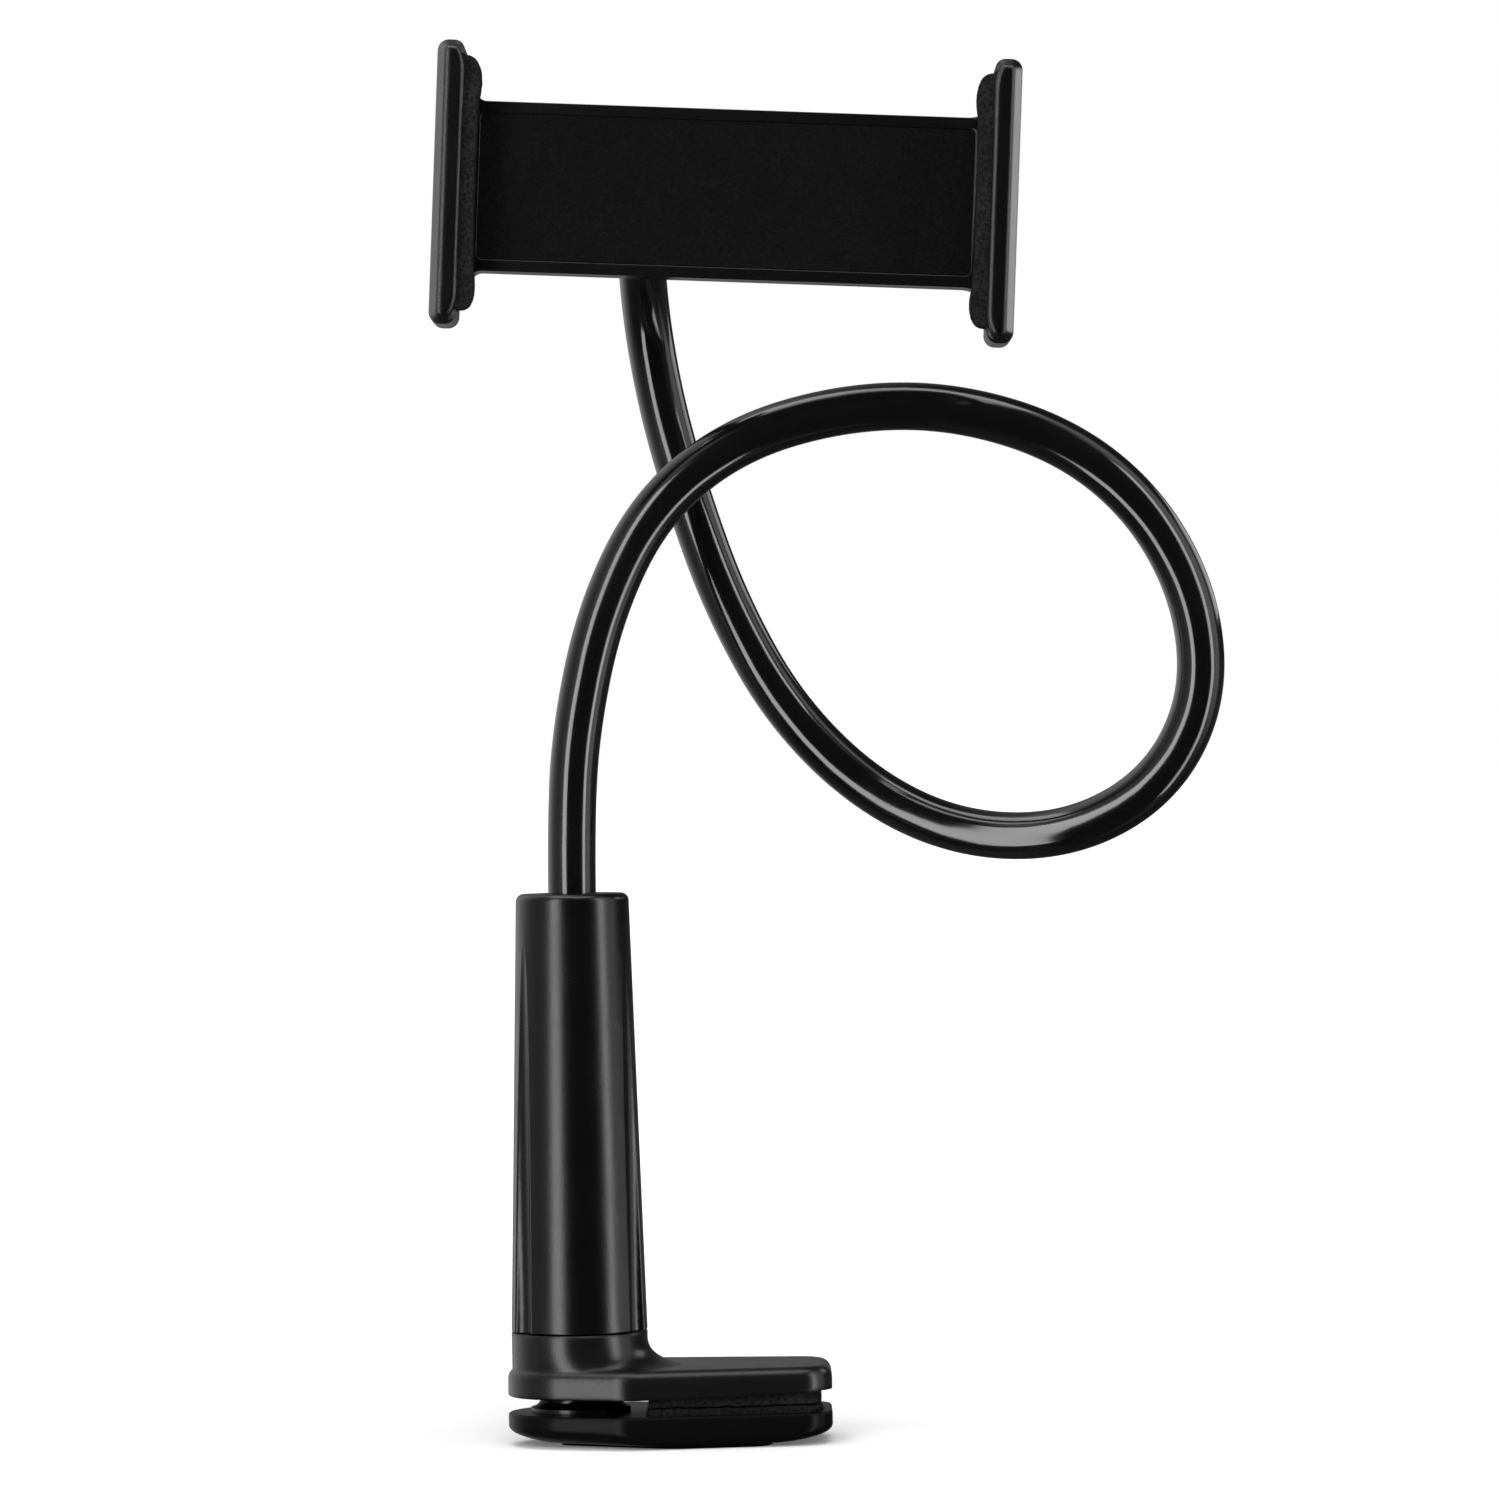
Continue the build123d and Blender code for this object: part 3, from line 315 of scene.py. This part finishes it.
def foam(name, colour, cell_scale, depth):
    """Closed-cell foam: small round pores between thin walls, matte, with shade painted into the pores and
    the walls painted lighter.
    """
    material, tree, shader = material_nodes(name)
    place = object_place(tree)
    cells = add_node(tree, "ShaderNodeTexVoronoi", {"Vector": place, "Scale": cell_scale}, feature="F1")
    reach = cells.outputs["Distance"]
    tiny = noise_texture(tree, place, scale=3 * cell_scale, detail=3.0, roughness=0.7)
    cloud = noise_texture(tree, place, scale=120.0, detail=4.0, roughness=0.6)
    height = combine(tree, "ADD", reach, tiny)
    tree.links.new(bumped(tree, height, depth), shader.inputs["Normal"])
    pore_shade_mask = map_range(tree, reach, PORE_FLOOR, PORE_RIM, 0.0, 1.0)
    patchy = combine(tree, "MULTIPLY", pore_shade_mask, cloud)
    # Painted shade and light: the pores are darker and the walls between them lighter than the foam's own
    # colour
    dark = [PORE_PAINTED_SHADE * c for c in colour]
    pale = [WALL_PAINTED_LIGHT * c for c in colour]
    tree.links.new(mix_colours(tree, patchy, dark, pale), shader.inputs["Base Color"])
    gloss = map_range(tree, tiny, NOISE_LOW, NOISE_HIGH, FOAM_ROUGH_LOW, FOAM_ROUGH_HIGH)
    tree.links.new(gloss, shader.inputs["Roughness"])
    shader.inputs["Specular IOR Level"].default_value = FOAM_SHINE
    return material


# Metal: how stains change its gloss and its colour, and the depth of its turning marks in metres
STAIN_SMOOTHER = 0.06
STAIN_ROUGHER = 0.08
STAIN_SHADE = 0.75
MARK_DEPTH = 0.000004


def metal(name, colour, roughness):
    """Plated steel with fine turning marks and small stains."""
    material, tree, shader = material_nodes(name)
    place = object_place(tree)
    marks = noise_texture(tree, place, scale=2500.0, detail=2.0)
    stain = noise_texture(tree, place, scale=300.0, detail=4.0, roughness=0.6)
    smooth = roughness - STAIN_SMOOTHER
    rough = roughness + STAIN_ROUGHER
    tree.links.new(map_range(tree, stain, NOISE_LOW, NOISE_HIGH, smooth, rough), shader.inputs["Roughness"])
    stained = [STAIN_SHADE * c for c in colour]
    tree.links.new(mix_colours(tree, stain, stained, colour), shader.inputs["Base Color"])
    tree.links.new(bumped(tree, marks, MARK_DEPTH), shader.inputs["Normal"])
    shader.inputs["Metallic"].default_value = 1.0
    return material


satin_black = moulded_plastic("satin_black_plastic", PLASTIC_BLACK, edge_r=0.3, shine=0.36)
# Paler copies of the same black for the lower and upper jaws: painted light, set to how bright they look
# under these lamps
hull_lit_black = moulded_plastic("hull_black_plastic", (0.0032, 0.0032, 0.0033), edge_r=1.2, shine=0.05)
plate_lit_black = moulded_plastic("plate_black_plastic", (0.005, 0.005, 0.0052), edge_r=1.6, shine=0.33)
soft_edged = moulded_plastic("soft_edged_plastic", PLASTIC_BLACK, edge_r=1.6)
housing_black = moulded_plastic("housing_black_plastic", PLASTIC_BLACK, edge_r=1.6, soft_from=0.104)
gloss_black = glossy_skin("gloss_black_pvc")
black_foam = foam("black_foam", (0.011, 0.011, 0.0115), cell_scale=1100.0, depth=0.00045)
black_rubber = foam("black_rubber_mat", (0.0014, 0.0014, 0.0015), cell_scale=1300.0, depth=0.00016)
steel = metal("plated_steel", (0.62, 0.62, 0.63), roughness=0.26)
nylon = moulded_plastic(
    "natural_nylon",
    (0.55, 0.54, 0.5),
    edge_r=0.5,
    roughness=0.45,
    spread=0.05,
    grain_scale=1800.0,
    grain_depth=0.000008,
)

# Finishes of the solids: one for each slot, then blacks with softer edges for four of them; the lower and
# upper jaws get paler copies of the black, painted light
finish_of_slot = {
    "satin_black": satin_black,
    "gloss_black": gloss_black,
    "black_foam": black_foam,
    "black_rubber": black_rubber,
    "steel": steel,
    "nylon": nylon,
}
for node in nodes.values():
    for index, old in enumerate(node.data.materials):
        node.data.materials[index] = finish_of_slot[old.name.split(".")[0]]
finish_of_piece = {
    "lower_jaw": hull_lit_black,
    "upper_jaw": plate_lit_black,
    "bracket_housing": housing_black,
    "sliding_jaw": soft_edged,
}
for name, finish in finish_of_piece.items():
    for index in range(len(nodes[name].data.materials)):
        nodes[name].data.materials[index] = finish

# Gooseneck: one smooth tube along the route's spline
RING_POINTS = 48
SPLINE_STEPS = 14
SPLINE_ORDER = 3
SHARP_EDGE = radians(50)
curve = bpy.data.curves.new("neck_line", "CURVE")
curve.dimensions = "3D"
curve.resolution_u = SPLINE_STEPS
spline = curve.splines.new("NURBS")
spline.points.add(len(NECK_ROUTE) - 1)
for point, place in zip(spline.points, NECK_ROUTE):
    point.co = (*[x * MM for x in place], 1)
spline.order_u = SPLINE_ORDER
spline.use_endpoint_u = True
line = bpy.data.objects.new("neck_line", curve)
scene.collection.objects.link(line)
line_mesh = evaluated_mesh(line)
path = [vertex.co.copy() for vertex in line_mesh.vertices]
bpy.data.objects.remove(line)
bpy.data.meshes.remove(line_mesh)

ring_angles = [2 * pi * k / RING_POINTS for k in range(RING_POINTS)]
neck_rows = []
normal = Vector((1, 0, 0))
for index, point in enumerate(path):
    before = path[max(index - 1, 0)]
    after = path[min(index + 1, len(path) - 1)]
    way = (after - before).normalized()
    normal = (normal - way * normal.dot(way)).normalized()
    side = way.cross(normal)
    neck_rows.append([point + NECK_R * MM * (normal * cos(a) + side * sin(a)) for a in ring_angles])

# Its root, on no body, and the rest, which goes along whole on the neck, as two pieces that meet in one ring
split = next(index for index, point in enumerate(path) if point.z > BEND_END[2] + SPLIT_PAST)
root_mesh = grid_mesh("gooseneck_root", neck_rows[: split + 1], caps=True)
root_mesh.set_sharp_from_angle(angle=SHARP_EDGE)
root = new_piece("gooseneck_root", root_mesh, None, gloss_black)
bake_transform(root)
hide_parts("gooseneck")
skin_mesh = grid_mesh("gooseneck_skin", neck_rows[split:], caps=True)
skin_mesh.set_sharp_from_angle(angle=SHARP_EDGE)
skin = new_piece("gooseneck_skin", skin_mesh, "neck", gloss_black)
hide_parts("gooseneck")

# Post: a two-start thread over the whole length, a flared foot and a keyway, in mm
THREAD_STEP = 0.3
POST_COLUMNS = 84
TOOTH_HALF = 0.35  # half a tooth's foot, as a share of the pitch
TOOTH_FLANK = 0.2  # width of a flank, as a share of the pitch
RUN_IN_START = 0.8  # height above the flare where the thread begins
RUN_IN = 1.2  # height over which it gets its full depth
TIP_CHAMFER = 1.2
key_angle = asin(KEY_HALF_W / POST_R)
flare_top = POST_FLARE_Z + POST_FLARE_R


def post_radius(z, angle):
    """Radius of the post's skin at a height and an angle, in mm."""
    turn = THREAD_STARTS * (z / THREAD_LEAD - angle / (2 * pi))
    share = turn - floor(turn)
    tooth = clamp((TOOTH_HALF - abs(share - 0.5)) / TOOTH_FLANK)
    depth = THREAD_DEPTH * clamp((z - POST_FLARE_Z - RUN_IN_START) / RUN_IN)
    radius = POST_R - depth * (1 - tooth)
    if z < flare_top:
        drop = min(flare_top - z, POST_FLARE_R)
        radius += POST_FLARE_R - sqrt(POST_FLARE_R**2 - drop**2)
    return min(radius, POST_R - TIP_CHAMFER + (POST_TOP_Z - z))


post_rows = []
row_count = int((POST_TOP_Z - POST_FOOT_Z) / THREAD_STEP)
for r in range(row_count + 1):
    z = POST_FOOT_Z + (POST_TOP_Z - POST_FOOT_Z) * r / row_count
    ring = []
    for c in range(POST_COLUMNS + 1):
        angle = pi / 2 + key_angle + (2 * pi - 2 * key_angle) * c / POST_COLUMNS
        radius = post_radius(z, angle)
        ring.append((radius * cos(angle) * MM, radius * sin(angle) * MM, z * MM))
    for x in (KEY_HALF_W, -KEY_HALF_W):
        ring.append((x * MM, KEY_FLAT * MM, z * MM))
    post_rows.append(ring)
post_mesh = grid_mesh("threaded_post", post_rows, caps=True)
post_mesh.set_sharp_from_angle(angle=SHARP_EDGE)
post = new_piece("threaded_post", post_mesh, "clamp_base", satin_black)
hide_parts("clamp_post")

# Foam: fine cells whose points are moved inwards to dents and pores, in mm
FOAM_CELL = 0.5
PORE_TOP = 0.4  # noise at which no pore is left


def foam_piece(name, node_name, body, sculpt):
    """A foam pad: the solid's skin in fine cells, moved point by point to the shape of cut foam."""
    solid = bpy.data.objects.new(name + "_solid", nodes[node_name].data.copy())
    scene.collection.objects.link(solid)
    cells = solid.modifiers.new("cells", "REMESH")
    cells.mode = "VOXEL"
    cells.voxel_size = FOAM_CELL * MM
    mesh = evaluated_mesh(solid)
    bpy.data.objects.remove(solid)
    mesh.name = name
    mesh.materials.clear()
    moved = [sculpt(vertex.co / MM, vertex.normal) * MM for vertex in mesh.vertices]
    for vertex, place in zip(mesh.vertices, moved):
        vertex.co = place
    mesh.shade_smooth()
    pad = new_piece(name, mesh, body, black_foam)
    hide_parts(node_name)


def sheet_noise(u, v, rate, layer):
    """Noise over a flat sheet, a pattern of its own for each layer."""
    return noise.noise(Vector((u * rate, v * rate, layer)))


def dent_noise(place, slow, quick, quick_share):
    """Large dents with smaller ones in them, at two rates per mm."""
    return noise.noise(place * slow) + quick_share * noise.noise(place * quick)


# Clamp pads: their dents, their pores and the waves of the seam between them, in mm
CUT_DENT = 0.28
CUT_DENT_TOP = 0.6  # noise at which no dent is left
CUT_PORE = 0.07
CUT_PORE_RATE = 2.3
SEAM_SLOW = 0.42
SEAM_QUICK = 0.2
SEAM_REACH = 1.5  # height over which the waves fade in the upper pad


def seam_wave(place):
    """Height of the wavy seam between the two clamp pads, in mm."""
    slow = sheet_noise(place.x, place.y, rate=0.11, layer=2.0)
    quick = sheet_noise(place.x, place.y, rate=0.34, layer=7.0)
    return SEAM_SLOW * slow + SEAM_QUICK * quick


def cut_foam(place, way):
    """A cut foam face: shallow dents on the sides and open pores all over."""
    dents = dent_noise(place, slow=0.45, quick=1.1, quick_share=0.5)
    pores = noise.noise(place * CUT_PORE_RATE)
    flat = 1 - abs(way.z)
    return way * (CUT_DENT * flat * (dents - CUT_DENT_TOP) + CUT_PORE * (pores - PORE_TOP))


lower_low, lower_high = [corner.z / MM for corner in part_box("lower_clamp_pad")]
upper_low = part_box("upper_clamp_pad")[0].z / MM


def lower_pad_shape(place, way):
    """Lower clamp pad: still at its foot, wavy at its top."""
    share = (place.z - lower_low) / (lower_high - lower_low)
    return place + cut_foam(place, way) + Vector((0, 0, share * seam_wave(place)))


def upper_pad_shape(place, way):
    """Upper clamp pad: wavy at its foot, still where it is glued on."""
    share = 1 - min((place.z - upper_low) / SEAM_REACH, 1.0)
    return place + cut_foam(place, way) + Vector((0, 0, share * seam_wave(place)))


foam_piece("lower_clamp_foam", "lower_clamp_pad", "clamp_base", lower_pad_shape)
foam_piece("upper_clamp_foam", "upper_clamp_pad", "clamp_carriage", upper_pad_shape)

# Frame of the head: along the band, across it and out of its front
head_u = Vector((cos(HEAD_ROLL), 0, -sin(HEAD_ROLL)))
head_v = Vector((sin(HEAD_ROLL), 0, cos(HEAD_ROLL)))
head_w = Vector((0, -1, 0))
head_turn = Matrix((head_u, head_v, head_w)).transposed()

# Jaw pads, in mm from the head's middle
PAD_END = 31.3
PAD_FACE = 61.5  # where the pads' faces are along the band
PAD_BACK = 69.9  # where the pads are glued on
PAD_ROUND = 3.2  # rounding of the pads' ends
SWELL = 0.5
SWELL_AT = 0.8  # middle of the swelling, as a share of the half length
SWELL_RUN = 0.13
HOLLOW = 0.3
HOLLOW_RATE = 1.3
JAW_DENT = 0.12
JAW_DENT_TOP = 0.5
JAW_PORE = 0.08
JAW_PORE_RATE = 2.1


def jaw_pad_shape(place, way):
    """Jaw pad: soft swollen ends, a slightly hollow middle and coarse grain."""
    local = head_turn.transposed() @ (place - HEAD_PLACE)
    along = abs(local.y) / PAD_END
    inward = -1 if local.x > 0 else 1
    share = clamp((PAD_BACK - abs(local.x)) / (PAD_BACK - PAD_FACE))
    swell = SWELL * max(1 - ((along - SWELL_AT) / SWELL_RUN) ** 2, 0.0)
    swell -= HOLLOW * max(1 - along * HOLLOW_RATE, 0.0)
    over = min(max(abs(local.y) - (PAD_END - PAD_ROUND), 0.0), PAD_ROUND)
    swell -= PAD_ROUND - sqrt(PAD_ROUND**2 - over**2)
    dents = dent_noise(place, slow=0.3, quick=0.9, quick_share=0.6)
    pores = noise.noise(place * JAW_PORE_RATE)
    grain = JAW_DENT * (dents - JAW_DENT_TOP) + JAW_PORE * (pores - PORE_TOP)
    return place + head_u * (inward * share * swell) + way * grain


foam_piece("fixed_jaw_foam", "fixed_jaw_pad", "bracket", jaw_pad_shape)
foam_piece("sliding_jaw_foam", "sliding_jaw_pad", "jaw", jaw_pad_shape)

# Front mat: a thin rubber sheet with soft edges, let into the band, in mm
MAT_HALF = (61.1, 18.1)
MAT_CORNER = 1.5
MAT_FRONT = -0.05
MAT_BACK = -1.3
MAT_EDGE = 0.2
MAT_RIM = [0.0, 0.04, 0.12, 0.25, 0.5, 0.9, 1.5]
MAT_STEP = 2.2
MAT_WAVE = 0.05
MAT_WAVE_RIM = 3.0  # the waves fade over this width
MAT_SHARP_EDGE = radians(60)


def rim_spaced(half):
    """Places across the mat, close together at its rims."""
    inner = half - MAT_RIM[-1] - MAT_STEP
    count = int(2 * inner / MAT_STEP)
    rim = [half - d for d in MAT_RIM]
    middle = [inner - 2 * inner * k / count for k in range(count + 1)]
    return rim + middle + [-x for x in reversed(rim)]


def mat_point(u, v):
    """A point of the mat's front, with rounded corners and edges."""
    over_u = abs(u) - (MAT_HALF[0] - MAT_CORNER)
    over_v = abs(v) - (MAT_HALF[1] - MAT_CORNER)
    if over_u > 0 and over_v > 0:
        pull = max(over_u, over_v) / sqrt(over_u**2 + over_v**2)
        u -= copysign(over_u * (1 - pull), u)
        v -= copysign(over_v * (1 - pull), v)
        inset = MAT_CORNER - pull * sqrt(over_u**2 + over_v**2)
    else:
        inset = MAT_CORNER - max(over_u, over_v)
    short = MAT_EDGE - min(max(MAT_HALF[1] - abs(v), 0.0), MAT_EDGE)
    wave = MAT_WAVE * sheet_noise(u, v, rate=0.07, layer=4.0) * min(inset / MAT_WAVE_RIM, 1.0)
    w = MAT_FRONT - MAT_EDGE + sqrt(max(MAT_EDGE**2 - short**2, 0.0)) + wave
    return (HEAD_PLACE + head_turn @ Vector((u, v, w))) * MM


mat_columns = rim_spaced(MAT_HALF[0])
mat_rows = [[mat_point(u, v) for u in mat_columns] for v in rim_spaced(MAT_HALF[1])]
mat_mesh = grid_mesh("front_mat", mat_rows, closed_rows=False)
shape = bmesh.new()
shape.from_mesh(mat_mesh)
rim_edges = [edge for edge in shape.edges if edge.is_boundary]
skirt = bmesh.ops.extrude_edge_only(shape, edges=rim_edges)["geom"]
for vertex in [item for item in skirt if isinstance(item, bmesh.types.BMVert)]:
    vertex.co += head_w * ((MAT_BACK - (MAT_FRONT - MAT_EDGE)) * MM)
bmesh.ops.holes_fill(shape, edges=[edge for edge in shape.edges if edge.is_boundary], sides=0)
bmesh.ops.recalc_face_normals(shape, faces=shape.faces)
shape.to_mesh(mat_mesh)
shape.free()
mat_mesh.shade_smooth()
mat_mesh.set_sharp_from_angle(angle=MAT_SHARP_EDGE)
mat = new_piece("front_mat", mat_mesh, "bracket", black_rubber)
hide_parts("front_pad")

# Floor, wide and pale: it keeps the holder's shadow and runs out into white further off
FLOOR_HALF = 30.0
FLOOR_COLOUR = (0.93, 0.93, 0.93, 1)
FLOOR_ROUGH = 0.9
GLOW_START = 0.06  # distance from the post at which the white begins
GLOW_END = 1.1  # distance at which it is full
GLOW_LEAST = 0.12
floor_material, tree, shader = material_nodes("floor")
shader.inputs["Base Color"].default_value = FLOOR_COLOUR
shader.inputs["Roughness"].default_value = FLOOR_ROUGH
shader.inputs["Specular IOR Level"].default_value = 0.0
rays = add_node(tree, "ShaderNodeLightPath").outputs
seen = combine(tree, "MAXIMUM", rays["Is Camera Ray"], rays["Is Glossy Ray"])
seen = combine(tree, "MAXIMUM", seen, rays["Is Transmission Ray"])
spot = object_place(tree)
away = add_node(tree, "ShaderNodeVectorMath", {0: spot}, operation="LENGTH").outputs["Value"]
run_out = map_range(tree, away, GLOW_START, GLOW_END, GLOW_LEAST, 1.0)
strength = combine(tree, "MULTIPLY", seen, run_out)
glow = add_node(tree, "ShaderNodeEmission", {"Strength": strength})
both = add_node(tree, "ShaderNodeAddShader", {0: shader.outputs[0], 1: glow.outputs[0]})

# Reflections look past the floor, most of all on the camera's side of the holder, so the strips run on below
PAST_BACK = 0.12
PAST_FRONT = -0.25
PAST_LEAST = 0.97
depth = add_node(tree, "ShaderNodeSeparateXYZ", {0: spot}).outputs["Y"]
front = map_range(tree, depth, PAST_BACK, PAST_FRONT, PAST_LEAST, 1.0)
unlit = combine(tree, "MULTIPLY", rays["Is Glossy Ray"], front)
beyond = add_node(tree, "ShaderNodeBsdfTransparent")
surface = add_node(tree, "ShaderNodeMixShader", {0: unlit, 1: both.outputs[0], 2: beyond.outputs[0]})
tree.links.new(surface.outputs[0], tree.nodes["Material Output"].inputs["Surface"])
floor_mesh = bpy.data.meshes.new("floor")
corners = [(x * FLOOR_HALF, y * FLOOR_HALF, 0) for x, y in ((-1, -1), (1, -1), (1, 1), (-1, 1))]
floor_mesh.from_pydata(corners, [], [(0, 1, 2, 3)])
floor_mesh.materials.append(floor_material)
ground = bpy.data.objects.new("floor", floor_mesh)
scene.collection.objects.link(ground)

# Surroundings: white to the camera. Reflections see pale side walls in a room dark in front and behind
ROOM = [
    (-180, 0.2),
    (-165, 0.3),
    (-150, 0.9),
    (-118, 1.0),
    (-100, 0.6),
    (-75, 0.35),
    (-60, 0.5),
    (-42, 0.9),
    (-30, 0.02),
    (0, 0.0),
    (48, 0.02),
    (58, 0.6),
    (70, 1.3),
    (92, 1.3),
    (103, 0.1),
    (130, 0.04),
    (160, 0.05),
    (180, 0.2),
]  # azimuth in degrees from the camera's side, brightness
AMBIENT = 0.25
LOW_START = -0.2  # slope below the horizon at which the room gets darker
LOW_END = -0.6  # slope at which it is darkest
LOW_LEAST = 0.1
world = bpy.data.worlds.new("studio")
scene.world = world
world.use_nodes = True
tree = world.node_tree
background = tree.nodes["Background"]
background.inputs["Color"].default_value = (1, 1, 1, 1)
rays = add_node(tree, "ShaderNodeLightPath").outputs
outward = add_node(tree, "ShaderNodeTexCoord").outputs["Generated"]
parts = add_node(tree, "ShaderNodeSeparateXYZ", {0: outward}).outputs
frontward = combine(tree, "MULTIPLY", parts["Y"], -1.0)
azimuth = combine(tree, "ARCTAN2", parts["X"], frontward)
turned = map_range(tree, azimuth, -pi, pi, 0.0, 1.0)
walls = add_node(tree, "ShaderNodeValToRGB", {"Fac": turned})
stops = walls.color_ramp.elements
while len(stops) < len(ROOM):
    stops.new(0.5)
for stop, (degrees, brightness) in zip(stops, ROOM):
    stop.position = (degrees + 180) / 360
    stop.color = (brightness, brightness, brightness, 1)
below = map_range(tree, parts["Z"], LOW_END, LOW_START, LOW_LEAST, 1.0)
room = combine(tree, "MULTIPLY", walls.outputs["Color"], below)
ambient_room = mix_numbers(tree, rays["Is Diffuse Ray"], room, AMBIENT)
to_camera = mix_numbers(tree, rays["Is Camera Ray"], ambient_room, 1.0)
tree.links.new(to_camera, background.inputs["Strength"])

# Lamps: a tall strip on each side for the highlights, and soft light from the front and from overhead
MIDDLE = Vector((0.06, 0.0, 0.1706))
FIXED_JAW = Vector((0.111, -0.02, 0.307))


def soft_box(
    name, azimuth, elevation, distance, width, height, radiance, diffuse=True, glossy=True, aim=MIDDLE
):
    """A lamp that faces a place on the holder. Azimuth 0 is the camera's side, positive to its right."""
    lamp = bpy.data.lights.new(name, "AREA")
    lamp.shape = "RECTANGLE"
    lamp.size = width
    lamp.size_y = height
    lamp.energy = radiance * pi * width * height
    a = radians(azimuth)
    e = radians(elevation)
    way = Vector((sin(a) * cos(e), -cos(a) * cos(e), sin(e)))
    box = bpy.data.objects.new(name, lamp)
    box.location = aim + distance * way
    box.rotation_euler = way.to_track_quat("Z", "Y").to_euler()
    box.visible_diffuse = diffuse
    box.visible_glossy = glossy
    scene.collection.objects.link(box)


soft_box("left_strip", -37, -6, 1.3, width=0.42, height=2.6, radiance=7.0, diffuse=False)
soft_box("right_strip", 60, -6, 1.3, width=0.3, height=2.6, radiance=6.5, diffuse=False)
soft_box("front_fill", -8, 20, 1.5, width=1.2, height=0.8, radiance=6.0, glossy=False)
soft_box("top_box", -20, 80, 1.4, width=1.4, height=1.0, radiance=3.4)
soft_box("right_card", 128, 4, 0.45, width=0.25, height=0.18, radiance=2.2, diffuse=False, aim=FIXED_JAW)
